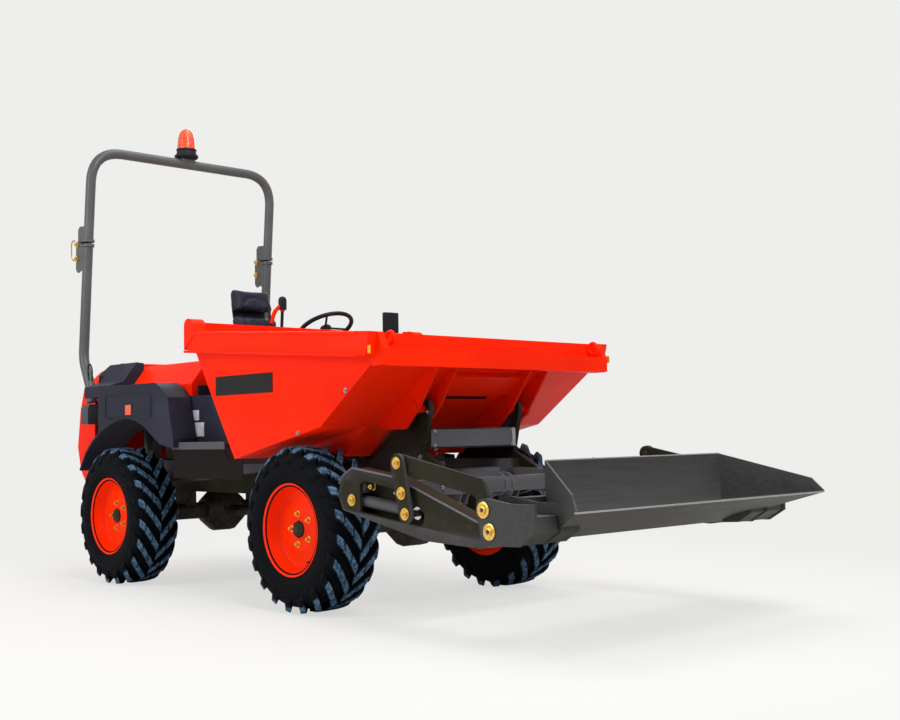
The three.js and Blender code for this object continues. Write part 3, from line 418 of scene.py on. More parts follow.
def piece(name, points, faces, finish, body, slot, sharp=35, bevel=0.0, levels=0, tidy=True, attribute=None):
    """Makes a mesh piece, closes its doubles, points its faces outwards and lets it ride on a body."""
    mesh = bpy.data.meshes.new(name)
    mesh.from_pydata(np.asarray(points, float).reshape(-1, 3).tolist(), [], faces)
    if attribute is not None:
        mesh.attributes.new("lug", "FLOAT", "POINT").data.foreach_set("value",
                                                                      attribute.astype(np.float32).ravel())
    if tidy:
        work = bmesh.new()
        work.from_mesh(mesh)
        bmesh.ops.remove_doubles(work, verts=work.verts, dist=1e-6)
        bmesh.ops.dissolve_degenerate(work, edges=work.edges, dist=1e-7)
        bmesh.ops.recalc_face_normals(work, faces=work.faces)
        work.to_mesh(mesh)
        work.free()
    mesh.shade_smooth()
    mesh.set_sharp_from_angle(angle=math.radians(sharp))
    mesh.materials.append(finish)
    made = bpy.data.objects.new(name, mesh)
    bpy.context.scene.collection.objects.link(made)
    if bevel:
        soft = made.modifiers.new("soft_edges", "BEVEL")
        soft.width, soft.segments, soft.limit_method, soft.angle_limit = bevel, 2, "ANGLE", math.radians(30)
        soft.harden_normals = True
    if levels:
        smooth = made.modifiers.new("smooth", "SUBSURF")
        smooth.levels = smooth.render_levels = levels
    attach(made, body)
    return made


def lathe(profile, centre, steps, along="y", sign=1.0):
    """A profile of (radius, along) turned about an axis through centre:
    centre + along * axis + r (cos t, sin t)."""
    r, w = np.asarray(profile, float).T
    t = np.linspace(0, 2 * math.pi, steps, endpoint=False)
    u, v, a = {"y": (0, 2, 1), "z": (0, 1, 2), "x": (1, 2, 0)}[along]
    points = np.zeros((len(r), steps, 3))
    points[..., u] = r[:, None] * np.cos(t)
    points[..., v] = r[:, None] * np.sin(t)
    points[..., a] = sign * w[:, None]
    return points + np.asarray(centre, float), grid_faces(len(r), steps, close_columns=True)


def rounded(points, radius, steps=8):
    """Straight runs whose corners are quadratic bends that begin radius before each corner:
    (1 - s)^2 a + 2 s (1 - s) corner + s^2 b, for s from 0 to 1."""
    p = np.asarray(points, float)
    out = [p[:1]]
    s = np.linspace(0, 1, steps)[:, None]
    for before, corner, after in zip(p[:-2], p[1:-1], p[2:]):
        a = corner + (before - corner) / np.linalg.norm(before - corner) * radius
        b = corner + (after - corner) / np.linalg.norm(after - corner) * radius
        out.append((1 - s) ** 2 * a + 2 * s * (1 - s) * corner + s ** 2 * b)
    return np.vstack(out + [p[-1:]])


def tube(path, radius, normal, steps=20):
    """A round bar along a flat path, with closed ends:
    path + r (cos t * normal + sin t * (tangent x normal))."""
    path = np.asarray(path, float)
    tangent = np.gradient(path, axis=0)
    tangent /= np.linalg.norm(tangent, axis=1, keepdims=True)
    n = np.broadcast_to(np.asarray(normal, float) / np.linalg.norm(normal), tangent.shape)
    side = np.cross(tangent, n)
    t = np.linspace(0, 2 * math.pi, steps, endpoint=False)[None, :, None]
    r = np.broadcast_to(np.asarray(radius, float), (len(path),))[:, None, None]
    points = path[:, None] + r * (np.cos(t) * n[:, None] + np.sin(t) * side[:, None])
    faces = grid_faces(len(path), steps, close_columns=True)
    faces += [list(range(steps))[::-1], list(range((len(path) - 1) * steps, len(path) * steps))]
    return points, faces


def slab(outline, low, high, across="y"):
    """A plate: its outline in the plane of the other two axes, between two heights on the axis across it."""
    o = np.asarray(outline, float)
    n = len(o)
    u, v, a = {"y": (0, 2, 1), "x": (1, 2, 0), "z": (0, 1, 2)}[across]
    points = np.zeros((2, n, 3))
    points[..., u], points[..., v] = o[:, 0], o[:, 1]
    points[0, :, a], points[1, :, a] = low, high
    sides = grid_faces(2, n, close_columns=True)
    return points.reshape(-1, 3), [list(range(n))[::-1], list(range(n, 2 * n))] + sides


def side_plate(corners, side, inner, outer):
    """A plate on one side: corners (x, z) in millimetres, between two distances from the middle plane."""
    return slab(section(corners), *sorted((side * inner, side * outer)))


def ring(radius, thick, steps=64, round_steps=14):
    """A ring in the x-y plane: (R + r cos b)(cos a, sin a), r sin b."""
    a = np.linspace(0, 2 * math.pi, steps, endpoint=False)[:, None]
    b = np.linspace(0, 2 * math.pi, round_steps, endpoint=False)[None]
    r = radius + thick * np.cos(b)
    points = np.stack(np.broadcast_arrays(r * np.cos(a), r * np.sin(a), thick * np.sin(b)), -1)
    return points, grid_faces(steps, round_steps, True, True)


def turn_to(direction):
    """The matrix that turns +z to a direction."""
    return np.array(Vector(direction).to_track_quat("Z", "X").to_matrix())


def together(*shapes):
    """Several (points, faces) as one."""
    points, faces, start = [], [], 0
    for p, f in shapes:
        p = np.asarray(p, float).reshape(-1, 3)
        points.append(p)
        faces += [[v + start for v in face] for face in f]
        start += len(p)
    return np.vstack(points), faces


def scattered(shape, origins, turns=None):
    """Copies of one shape: origin + turn @ point for every origin, as one mesh."""
    p, f = np.asarray(shape[0], float).reshape(-1, 3), shape[1]
    o = np.asarray(origins, float).reshape(-1, 3)
    turns = np.broadcast_to(np.eye(3), (len(o), 3, 3)) if turns is None else np.asarray(turns, float)
    points = np.einsum("kij,nj->kni", turns, p) + o[:, None]
    faces = [[v + k * len(p) for v in face] for k in range(len(o)) for face in f]
    return points.reshape(-1, 3), faces


print("a 3 x 4 grid has", len(grid_faces(3, 4)), "faces, or", len(grid_faces(3, 4, True, True)),
      "when closed")

# %% [markdown]
# ## Soft edges for the welded steel
# A plate cut by a torch never has a knife edge. Where the solid model's shape is right, a copy of the
# node gets its loose triangles merged, flat areas joined, and a narrow bevel that catches the light.
# The shovel's thin edges leave no room for a bevel, so its copy has none.

# %% Bevelled copies of the CAD nodes
EAR_TOP, EAR_ROUND = 1.405, 0.036


def softened(node, finish, width=2.2, sharp=32, round_above=None):
    """A copy of a CAD node with merged flats and edges bevelled by width millimetres, which stands for
    the node. Edges across the machine that lie above round_above are rounded first."""
    source = frame["nodes"][node]
    work = bmesh.new()
    work.from_mesh(source.data)
    bmesh.ops.remove_doubles(work, verts=work.verts, dist=2e-6)
    bmesh.ops.dissolve_limit(work, angle_limit=math.radians(0.6), verts=work.verts, edges=work.edges)
    if round_above:
        high = [e for e in work.edges if min(v.co.z for v in e.verts) > round_above]
        chosen = [e for e in high if abs(e.verts[0].co.x - e.verts[1].co.x) < 1e-5
                  and abs(e.verts[0].co.y - e.verts[1].co.y) > 0.05]
        bmesh.ops.bevel(work, geom=chosen, offset=EAR_ROUND, segments=7, profile=0.5, affect="EDGES",
                        clamp_overlap=False)
    mesh = bpy.data.meshes.new(node + "_soft")
    work.to_mesh(mesh)
    work.free()
    mesh.shade_smooth()
    mesh.set_sharp_from_angle(angle=math.radians(sharp))
    mesh.materials.clear()
    mesh.materials.append(finish)
    made = bpy.data.objects.new(node + "_soft", mesh)
    bpy.context.scene.collection.objects.link(made)
    if width:
        soft = made.modifiers.new("soft_edges", "BEVEL")
        soft.width, soft.segments, soft.limit_method = width / 1000, 2, "ANGLE"
        soft.angle_limit = math.radians(sharp)
        soft.harden_normals = True
    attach(made, source["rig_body"])
    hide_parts(node)
    return made


welded = ((ORANGE, "orange_paint", 2.5, ["skip"]), (ORANGE, "orange_paint", 4.0, ["hood", "rear_cowl"]),
          (OLIVE, "olive_paint", 2.0, ["chassis_frame", "arm_left", "arm_right"]),
          (FRAME_GREY, "olive_paint", 2.0, ["arm_cross_beam"]),
          (SHOVEL_STEEL, "shovel_grey", 0, ["shovel"]),
          (OLIVE, "olive_paint", 1.5, ["bellcrank_left", "bellcrank_right", "shovel_link_left",
                                       "shovel_link_right"]), (FENDER, "black_plastic", 4.0,
                                                               ["fender_left", "fender_right"]),
          (FENDER, "black_plastic", 3.0, ["side_panel_left", "side_panel_right", "hood_front_panel"]),
          (OLIVE, "olive_paint", 1.5, ["floor_plate"]), (PLASTIC, "black_plastic", 8.0, ["seat_base"]),
          (PLASTIC, "black_plastic", 3.0, ["control_console"]),
          (CAST, "cast_grey", 8.0, ["engine_block"]),
          (CAST, "cast_grey", 3.0, ["driveline", "front_axle", "rear_axle", "knuckle_left",
                                    "knuckle_right"]), (PLASTIC, "black_plastic", 3.0,
                                                        ["steering_column"]),)
made = [softened(node, finish, width, sharp=12 if node == "shovel" else 32,
                 round_above=EAR_TOP if node == "skip" else None)
        for finish, slot_name, width, nodes in welded for node in nodes]
rams = ["tip_ram_{}"] + [f"{kind}_ram_{{}}_{side}" for kind in ("lift", "tilt") for side in SIDES]
for stem in rams:
    softened(stem.format("barrel"), FRAME_GREY, 1.5)
for stem in rams:
    softened(stem.format("rod"), CHROME, 1.5)
softened("steering_rod", CHROME, 1.5)
print("softened", len(made) + 2 * len(rams) + 1, "nodes")

# %% [markdown]
# ## Tyres
# Each tyre is a smooth carcass, turned from one profile, with two rings of rubber bars that meet in a
# V and are staggered by half a step. A bar runs from near the middle to the shoulder, and is
# broken into three blocks, as on a traction tread. Carving the gaps out of a solid ring would be
# slow and leave ragged edges, so each block is a small closed grid laid on the carcass.

# %% Carcass and lugs
LUGS, TURN_STEPS = 20, 96
TREAD_R, BASE_R = 0.3800, 0.356
across = np.array([0.0, 30, 60, 84, 100, 112, 121, 127, 130.5, 131.5, 130, 124, 116, 114.7]) / 1000
carcass_r = np.array([BASE_R, 0.3555, 0.3535, 0.350, 0.3455, 0.338, 0.327, 0.313, 0.295, 0.275, 0.250,
                      0.226, 0.2135, 0.196])


def lug_bars(first, last, wide_first, wide_last, lean, stations=7):
    """Bars between two distances from the middle of the tread.
    The angle is start + lean * distance, the width eases from first to last, and the top is the tread's
    radius less 4 mm * (distance / 120 mm)^2 and less a drop past the shoulder."""
    w = np.linspace(first, last, stations)
    wide = np.linspace(wide_first, wide_last, stations)
    top = TREAD_R - 0.004 * (w / 0.12) ** 2 - np.clip(w - 0.098, 0, None) ** 1.5 * 9.0
    foot = np.interp(w, across[:10], carcass_r[:10]) - 0.004
    middle = lean * w / 0.12
    half_top, half_foot = wide * 0.38 / TREAD_R, wide * 0.56 / BASE_R
    radius = np.stack([foot, top - 0.003, top, top, top - 0.003, foot], 1)
    edges = [-half_foot, -half_top * 1.06, -half_top * 0.9, half_top * 0.9, half_top * 1.06, half_foot]
    angle = middle[:, None] + np.stack(edges, 1)
    mark = np.tile([0.0, 0.55, 1.0, 1.0, 0.55, 0.0], (stations, 1)) * (1 - 0.75 * (w > 0.118))[:, None]
    faces = grid_faces(stations, 6, close_columns=True)
    faces += [[0, 1, 2, 3, 4, 5], [(stations - 1) * 6 + k for k in range(6)][::-1]]
    return radius, angle, np.repeat(w[:, None], 6, 1), mark, faces


def tyre(name, body):
    """A carcass with three blocks to a bar and LUGS bars to a side, in place of a CAD tyre."""
    low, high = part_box(name)
    centre = np.array([(low.x + high.x) / 2, (low.y + high.y) / 2, (low.z + high.z) / 2])
    profile = np.vstack([np.stack([carcass_r, -across], 1)[::-1], np.stack([carcass_r, across], 1)[1:]])
    points, faces = lathe(profile, centre, TURN_STEPS)
    last = (len(profile) - 1) * TURN_STEPS
    after = [(k + 1) % TURN_STEPS for k in range(TURN_STEPS)]
    inner = [[last + after[k], last + k, k, after[k]] for k in range(TURN_STEPS)]
    shapes, marks = [(points, faces + inner)], [np.zeros(points.shape[:2]).ravel()]
    for side in (1, -1):
        for bar in (lug_bars(0.003, 0.042, 0.060, 0.062, 0.42), lug_bars(0.050, 0.088, 0.054, 0.056, 0.42),
                    lug_bars(0.095, 0.130, 0.054, 0.058, 0.42, 8)):
            radius, angle, w, mark, bar_faces = bar
            start = (np.arange(LUGS) + (0 if side > 0 else 0.5)) * 2 * math.pi / LUGS
            t = start[:, None, None] + angle[None]
            sideways = np.broadcast_to(side * w, t.shape)
            p = np.stack([radius * np.cos(t), sideways, radius * np.sin(t)], -1) + centre
            shapes.append((p, [[v + k * radius.size for v in f] for k in range(LUGS) for f in bar_faces]))
            marks.append(np.tile(mark.ravel(), LUGS))
    points, faces = together(*shapes)
    made = piece(name + "_lugged", points, faces, RUBBER, body, "tyre", sharp=40, tidy=False,
                 attribute=np.concatenate(marks))
    work = bmesh.new()
    work.from_mesh(made.data)
    bmesh.ops.recalc_face_normals(work, faces=work.faces)
    work.to_mesh(made.data)
    work.free()
    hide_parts(name)
    return made


# %% [markdown]
# The rim is a deep dish: a rolled lip, a stepped well, and a disc set inwards with five studs round a
# dark hub. It is one turned profile, and the nuts are a six-sided shape scattered round a circle.
# Because every wheel is built from the box of its own CAD tyre, a moved axle takes its wheels along.

# %% Rims, nuts and hubs
def hex_nut(size, height, washer=1.45):
    """A nut along +z with its washer: turned from six corners, with a domed end."""
    t = np.arange(6) * math.pi / 3
    ring = np.stack([np.cos(t), np.sin(t)], 1)
    levels = [(size, 0.0), (size, height * 0.8), (size * 0.86, height), (size * 0.45, height),
              (size * 0.42, height * 1.35), (0.0, height * 1.35)]
    points = np.stack([np.concatenate([ring * r, np.full((6, 1), h)], 1) for r, h in levels])
    disc = [(0.0, -0.0005), (size * washer, -0.0005), (size * washer, height * 0.18),
            (size * 0.9, height * 0.2)]
    return together((points, grid_faces(6, 6, close_columns=True)), lathe(disc, (0, 0, 0), 16, "z"))


def bolted(name, shape, spots, facing, body, finish):
    """One piece of hardware at every spot in millimetres, turned from +z to where it faces."""
    turns = [turn_to(direction) for direction in facing]
    return piece(name, *scattered(shape, place(spots), turns), finish, body, "chromed_rod", sharp=25)


RIM_Y, AXLE_Z = 0.616, 0.380


def rim(name, body, side):
    """A dish, five nuts, a hub cap and a valve slot on one wheel."""
    low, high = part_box(name)
    centre = np.array([(low.x + high.x) / 2, side * RIM_Y, AXLE_Z])
    lip = [(0.1965, -0.115), (0.2115, -0.121), (0.2125, -0.118), (0.1945, -0.110), (0.194, -0.06),
           (0.180, -0.05), (0.180, -0.01), (0.194, 0.02), (0.194, 0.110), (0.2065, 0.1135),
           (0.2118, 0.117), (0.2132, 0.1195), (0.2118, 0.1216), (0.2075, 0.1212), (0.2035, 0.1165),
           (0.2015, 0.110), (0.1985, 0.107), (0.1965, 0.103), (0.1958, 0.094), (0.1925, 0.089),
           (0.1915, 0.083), (0.1905, 0.072), (0.187, 0.067), (0.1855, 0.058), (0.1815, 0.050),
           (0.176, 0.045), (0.150, 0.0435), (0.112, 0.048), (0.100, 0.0545), (0.094, 0.056),
           (0.058, 0.056), (0.052, 0.059), (0.046, 0.066), (0.0, 0.066)]
    back = [(0.0, 0.046), (0.090, 0.044), (0.150, 0.0335), (0.176, 0.034), (0.178, -0.05),
            (0.1865, -0.112), (0.1965, -0.115)]
    points, faces = lathe(lip + back, centre, 96, sign=side)
    made = piece(name + "_dish", points, faces, RIM_ORANGE, body, "rim_orange", sharp=50)
    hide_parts(name)
    t = np.radians(180 + np.arange(5) * 72)
    studs = np.stack([0.073 * np.cos(t), np.full(5, side * 0.056), 0.073 * np.sin(t)], 1) + centre
    p, f = scattered(hex_nut(0.0105, 0.014), studs, [turn_to((0, side, 0))] * 5)
    piece(name + "_nuts", p, f, ZINC, body, "chromed_rod", sharp=25)
    hub, hub_faces = lathe([(0.0405, 0.060), (0.0405, 0.074), (0.036, 0.078), (0.020, 0.079),
                            (0.018, 0.084), (0.0, 0.084)], centre, 8, sign=side)
    piece(name + "_hub_cap", hub, hub_faces, OLIVE, body, "olive_paint", sharp=25, bevel=0.002)
    slot_at = centre + np.array([0.048, side * 0.048, -0.148])
    slotted, slot_faces = slab([(-0.016, -0.005), (0.016, 0.001), (0.016, 0.007), (-0.016, 0.002)],
                               -0.004, 0.004)
    piece(name + "_valve_slot", slotted + slot_at, slot_faces, BLACK_LABEL, body, "black_plastic",
          bevel=0.001)


for end in ("front", "rear"):
    for side_name, side in SIDES.items():
        body = f"wheel_{end}_{side_name}"
        tyre(f"tyre_{end}_{side_name}", body)
        rim(f"rim_{end}_{side_name}", body, side)
print("tyres with", LUGS * 6, "blocks each, on", len(SIDES) * 2, "rims")

# %% [markdown]
# ## Roll-over hoop
# A bent steel tube on two legs, folded by pins at the back of each leg. A tube along a flat path needs
# only its tangent and the path's own normal, so the whole pipe is one grid. Each leg and the arch end
# in a welded collar and in plates that hold the fold pin, and the beacon's plate sits on the arch.

# %% Hoop, legs and fold plates
FOLD_Z, TOP_Z, HOOP_Y = 1990, 2553, 645
AXIS_X, LEG_X, TOP_X = -2272, -2186, -2138
FOLD, TUBE_R, COLLAR_R = FOLD_Z / 1000, 0.030, 0.037
fold_plate = section([(AXIS_X - 22, FOLD_Z - 150), (AXIS_X - 22, FOLD_Z), (AXIS_X + 12, FOLD_Z + 22),
                      (LEG_X - 8, FOLD_Z - 26), (LEG_X - 8, FOLD_Z - 150), (AXIS_X, FOLD_Z - 172)])
tang = section([(AXIS_X - 20, FOLD_Z + 4), (AXIS_X - 20, FOLD_Z + 92), (AXIS_X, FOLD_Z + 112),
                (LEG_X - 14, FOLD_Z + 106), (LEG_X - 14, FOLD_Z + 28), (AXIS_X + 20, FOLD_Z + 2),
                (AXIS_X, FOLD_Z - 19)])


def collar(x, y, low, high):
    """A ring welded round the tube, with 2 mm chamfers."""
    profile = [(0.029, low), (COLLAR_R, low + 0.002), (COLLAR_R, high - 0.002), (0.029, high)]
    return lathe(profile, place([(x, y, 0)])[0], 28, "z")


for side_name, side in SIDES.items():
    y = side * HOOP_Y
    bends = [(-2132, y, 1030), (-2145, y, 1110), (-2242, y, 1290), (LEG_X, y, FOLD_Z - 8)]
    pipe = tube(place(rounded(bends, 60)), TUBE_R, (0, 1, 0))
    plates = [slab(fold_plate, (y + o - 5) / 1000, (y + o + 5) / 1000) for o in (-22, 22)]
    inner, outer = y / 1000 - 0.036, y / 1000 + 0.036
    foot = slab([(inner, 1.0003), (outer, 1.0003), (outer, 1.018), (inner, 1.018)],
                *place([(-2177, 0, 0), (-2097, 0, 0)])[:, 0], across="x")
    p, f = together(pipe, collar(LEG_X, y, FOLD - 0.024, FOLD - 0.004), foot, *plates)
    leg = piece(f"hoop_leg_{side_name}", p, f, HOOP_GREY, "chassis", "rollbar_grey", sharp=40)
    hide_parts(f"rops_leg_{side_name}")

bends = [(LEG_X + 1, -HOOP_Y, FOLD_Z + 6), (TOP_X, -HOOP_Y, TOP_Z), (TOP_X, HOOP_Y, TOP_Z),
         (LEG_X + 1, HOOP_Y, FOLD_Z + 6)]
corners = place(bends)
arch_path = rounded(corners * 1000, 200, 14) / 1000
shapes = [tube(arch_path, TUBE_R, np.cross(corners[1] - corners[0], (0, 1, 0)))]
for side in (1, -1):
    y = side * HOOP_Y / 1000
    shapes.append(collar(LEG_X + 2, side * HOOP_Y, FOLD + 0.004, FOLD + 0.022))
    shapes.append(slab(tang, y - 0.015, y + 0.015))
beacon_plate = [(TOP_X - 30, -45, 0), (TOP_X + 30, -45, 0), (TOP_X + 30, 45, 0), (TOP_X - 30, 45, 0)]
shapes.append(slab(place(beacon_plate)[:, :2], (TOP_Z + 10) / 1000, (TOP_Z + 34) / 1000, across="z"))
arch = piece("hoop_arch", *together(*shapes), HOOP_GREY, "roll_over_hoop", "rollbar_grey", sharp=40)
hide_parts("rops_arch")
print("hoop", round(float(arch_path[:, 2].max()), 3), "m high,", 2 * HOOP_Y, "mm between its tubes")

# %% [markdown]
# The fold pins are yellow-plated: a pivot bolt, a locking pin, and a ring of wire to pull the pin by.
# The wire lies outside the plates, where it is clear of the hoop when that folds down.

# %% Hoop pins
def pin_set(side):
    """A pivot bolt and a locking pin with its ring at the back of one leg."""
    y = side * HOOP_Y / 1000
    heads = place([(AXIS_X, 0, FOLD_Z), (AXIS_X - 4, 0, FOLD_Z - 88)])
    places, turns = [], []
    for h in heads:
        for s in (1, -1):
            places.append((h[0], y + s * 0.029, h[2]))
            turns.append(turn_to((0, s, 0)))
    nuts = scattered(hex_nut(0.013, 0.014), places, turns)
    ring_path = place([(AXIS_X - 30, 0, FOLD_Z - 95), (AXIS_X - 58, 0, FOLD_Z - 70),
                       (AXIS_X - 62, 0, FOLD_Z + 10), (AXIS_X - 40, 0, FOLD_Z + 30),
                       (AXIS_X - 18, 0, FOLD_Z + 24)])
    ring_path[:, 1] = y + side * 0.0385
    return together(nuts, tube(rounded(ring_path, 0.014, 6), 0.0045, (0, 1, 0), 10))


for side_name, side in SIDES.items():
    pins = piece(f"hoop_pins_{side_name}", *pin_set(side), ZINC, "chassis", "chromed_rod", sharp=28)
    print(pins.name, "with", len(pins.data.vertices), "points")

# %% [markdown]
# The beacon is a stepped black foot under a moulded amber dome with fine rings that spread the light.
# Both are turned profiles, and the rings are a square wave taken off the dome's radius.

# %% Beacon
lamp = place([(TOP_X, 0, 0)])[0]
foot_z, lens_z = 2.5873, 2.6503
base_profile = [(0.0, foot_z), (0.056, foot_z), (0.068, foot_z + 0.004), (0.075, foot_z + 0.012),
                (0.075, foot_z + 0.022), (0.0640, foot_z + 0.027), (0.0605, lens_z - 0.012),
                (0.064, lens_z - 0.009), (0.064, lens_z - 0.001), (0.0, lens_z - 0.001)]
turned_foot = lathe(base_profile, lamp, 48, "z")
foot = piece("beacon_foot", *turned_foot, PLASTIC, "roll_over_hoop", "black_plastic", sharp=30)
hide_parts("beacon_base")
h = np.linspace(0, 1, 44)
dome_r = np.interp(h, [0, 0.10, 0.52, 0.78, 0.92, 0.98, 1.0],
                   [0.059, 0.0585, 0.053, 0.043, 0.028, 0.013, 0.0])
dome_r = dome_r * (1 - 0.012 * (np.sin(h * 120) > 0) * (h < 0.8))
dome_profile = np.vstack([[(0.0, lens_z)], np.stack([dome_r, lens_z + h * 0.1345], 1)])
turned_dome = lathe(dome_profile, lamp, 48, "z")
lens = piece("beacon_dome", *turned_dome, AMBER, "roll_over_hoop", "beacon_amber", sharp=60)
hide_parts("beacon_lens")
print("beacon", round(lens_z + 0.1345, 3), "m above the ground")

# %% [markdown]
# ## Seat
# The driver's seat has a two-part back and a squab, each a foam block under vinyl. Foam pushes its cover
# out, so each pad starts as a block and is blown up by a short cloth simulation. The sewn channels
# come afterwards, because the even grid that the simulation needs would wipe them out. A plain
# plastic shell carries the two back pads.

# %% Pads blown up by cloth pressure
def blown(made, cap, voxel=0.006, pressure=4.0):
    """Rounds a piece, remeshes it evenly and lets cloth pressure push it out by no more than cap metres."""
    round_off = made.modifiers.new("round_off", "BEVEL")
    round_off.width, round_off.segments = 0.034, 6
    even = made.modifiers.new("even_grid", "REMESH")
    even.mode, even.voxel_size = "VOXEL", voxel
    graph = bpy.context.evaluated_depsgraph_get()
    mesh = bpy.data.meshes.new_from_object(made.evaluated_get(graph))
    made.modifiers.clear()
    made.data = mesh
    start = np.zeros(len(mesh.vertices) * 3)
    mesh.vertices.foreach_get("co", start)
    cloth = made.modifiers.new("cloth", "CLOTH")
    cloth.settings.use_pressure = True
    cloth.settings.uniform_pressure_force = pressure
    cloth.settings.effector_weights.gravity = 0
    for step in range(1, 21):
        bpy.context.scene.frame_set(step)
    graph = bpy.context.evaluated_depsgraph_get()
    moved = np.zeros(len(mesh.vertices) * 3)
    made.evaluated_get(graph).data.vertices.foreach_get("co", moved)
    shift = (moved - start).reshape(-1, 3)
    length = np.linalg.norm(shift, axis=1, keepdims=True) + 1e-9
    shift *= np.minimum(1, cap / length)
    made.modifiers.clear()
    bpy.context.scene.frame_set(1)
    mesh.vertices.foreach_set("co", (start.reshape(-1, 3) + shift).ravel())
    return made


def cushion(name, outline, y_low, y_high, body, channel, cap=0.008):
    """A pad: its outline in x and z between two sides, blown up, then sewn. channel(x, y, z) gives each
    point's distance from the sewn line, and the depth is 12 mm * exp(-(distance / 6 mm)^2)."""
    shape = slab(outline, y_low, y_high)
    made = piece(name, *shape, VINYL, body, "seat_vinyl", sharp=180)
    blown(made, cap)
    mesh = made.data
    co = np.zeros(len(mesh.vertices) * 3)
    no = np.zeros(len(mesh.vertices) * 3)
    mesh.vertices.foreach_get("co", co)
    mesh.vertices.foreach_get("normal", no)
    co, no = co.reshape(-1, 3), no.reshape(-1, 3)
    depth = 0.012 * np.exp(-(channel(co[:, 0], co[:, 1], co[:, 2]) / 0.006) ** 2)
    mesh.vertices.foreach_set("co", (co - no * depth[:, None]).ravel())
    mesh.shade_smooth()
    relax = made.modifiers.new("relax", "SMOOTH")
    relax.factor, relax.iterations = 0.5, 26
    smooth = made.modifiers.new("smooth", "SUBSURF")
    smooth.levels = smooth.render_levels = 1
    return made


SEAT_Y = 0.260
back_line = section([(-1697, 1392), (-1767, 1394), (-1812, 1556), (-1738, 1556)])
head_line = section([(-1752, 1592), (-1824, 1588), (-1844, 1700), (-1832, 1728), (-1800, 1728)])
arc_centre = (SEAT_Y, 1.610)
lower_back = cushion("seat_back_lower_pad", back_line, SEAT_Y - 0.158, SEAT_Y + 0.158, "chassis",
                     lambda x, y, z: np.minimum(np.abs(np.abs(y - SEAT_Y) - 0.085), np.abs(z - 1.485)))
upper_back = cushion("seat_back_upper_pad", head_line, SEAT_Y - 0.138, SEAT_Y + 0.138, "chassis",
                     lambda x, y, z: np.abs(np.hypot((y - arc_centre[0]) / 1.25, z - arc_centre[1]) - 0.068))
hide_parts("seat_back")
seat_low, seat_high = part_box("seat_cushion")
inset = 0.010
squab_line = [(seat_low.x + inset, seat_low.z + 0.002), (seat_high.x - inset, seat_low.z + 0.002),
              (seat_high.x - inset, seat_high.z - 0.028), (seat_high.x - 0.06, seat_high.z - inset),
              (seat_low.x + inset, seat_high.z - inset)]
squab = cushion("seat_squab", squab_line, seat_low.y + inset, seat_high.y - inset, "chassis", lambda x, y,
                z: np.abs(np.hypot((x - (seat_low.x + seat_high.x) / 2) * 0.95, y - SEAT_Y) - 0.115))
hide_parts("seat_cushion")
shell_line = section([(-1772, 1383), (-1779, 1384), (-1830, 1560), (-1846, 1640), (-1840, 1642),
                      (-1824, 1560)])
shell = slab(shell_line, SEAT_Y - 0.120, SEAT_Y + 0.120)
piece("seat_back_shell", *shell, PLASTIC, "chassis", "black_plastic", bevel=0.002)
print("pads", [(pad.name, len(pad.data.vertices)) for pad in (lower_back, upper_back, squab)])

# %% [markdown]
# ## Steering wheel and levers
# The wheel is a ring on three spokes. The plane it lies in is read from the solid model: the direction
# in which its points spread least is the axle of the wheel.

# %% Steering wheel
wheel_node = frame["nodes"]["steering_wheel"]
points = np.zeros(len(wheel_node.data.vertices) * 3)
wheel_node.data.vertices.foreach_get("co", points)
points = points.reshape(-1, 3)
hub_point = place([(-1035, 260, 1430)])[0]
rim_points = points[np.linalg.norm(points - points.mean(0), axis=1) > 0.12]
wheel_axle = np.linalg.svd(rim_points - rim_points.mean(0))[2][2]
wheel_axle *= np.sign(wheel_axle[2])
wheel_centre = rim_points.mean(0)
reach = np.linalg.norm(rim_points - wheel_centre, axis=1).max()
turn = turn_to(wheel_axle)


grip_ring, grip_faces = ring(reach - 0.013, 0.0125)
hub_at = turn.T @ (hub_point - wheel_centre)
spokes = []
for a in np.radians([90, 210, 330]):
    outwards = np.array([math.cos(a), math.sin(a), 0])
    spoke_path = np.array([hub_at, hub_at * 0.6 + 0.06 * outwards, (reach - 0.014) * outwards])
    spokes.append(tube(spoke_path, 0.0065, (-math.sin(a), math.cos(a), 0), 10))
boss = lathe([(0.0, -0.020), (0.026, -0.018), (0.034, -0.004), (0.030, 0.008), (0.0, 0.012)],
             (0, 0, hub_at[2]), 32, "z")
shape = together((grip_ring, grip_faces), boss, *spokes)
placed = shape[0] @ turn.T + wheel_centre
steering = piece("steering_wheel_rim", placed, shape[1], PLASTIC, "hand_wheel", "black_plastic", sharp=50)
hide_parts("steering_wheel")
print("steering wheel radius", round(float(reach), 3), "axle", np.round(wheel_axle, 3))

# %% [markdown]
# The lever has a turned orange grip and a black knob, both on its own line, and a bent orange handle
# beside it. The mirror keeps the solid model's shape and only gets rounded edges.

# %% Lever grip and mirror
lever = place([(-1120, 20, 0)])[0]
grip_profile = [(0.0, 1.520), (0.0135, 1.521), (0.0150, 1.530), (0.0135, 1.545), (0.0160, 1.562),
                (0.0135, 1.566), (0.0, 1.567)]
knob_profile = [(0.0, 1.566), (0.0120, 1.567), (0.0205, 1.578), (0.0225, 1.588), (0.0185, 1.600),
                (0.0090, 1.606), (0.0, 1.607)]
grip = lathe(grip_profile, lever, 24, "z")
piece("lever_grip", *grip, ORANGE, "chassis", "orange_paint", sharp=40)
knob = lathe(knob_profile, lever, 28, "z")
piece("lever_knob", *knob, PLASTIC, "chassis", "black_plastic", sharp=60)
slant = tube(rounded(place([(-1122, 10, 1556), (-1136, -22, 1520), (-1146, -44, 1448)]), 0.012, 5),
             0.0125, (1, 0, 0.1), 16)
piece("lever_orange_handle", *slant, ORANGE, "chassis", "orange_paint", sharp=40)
mirror = softened("mirror", PLASTIC, 9.0)
print("lever and", mirror.name)
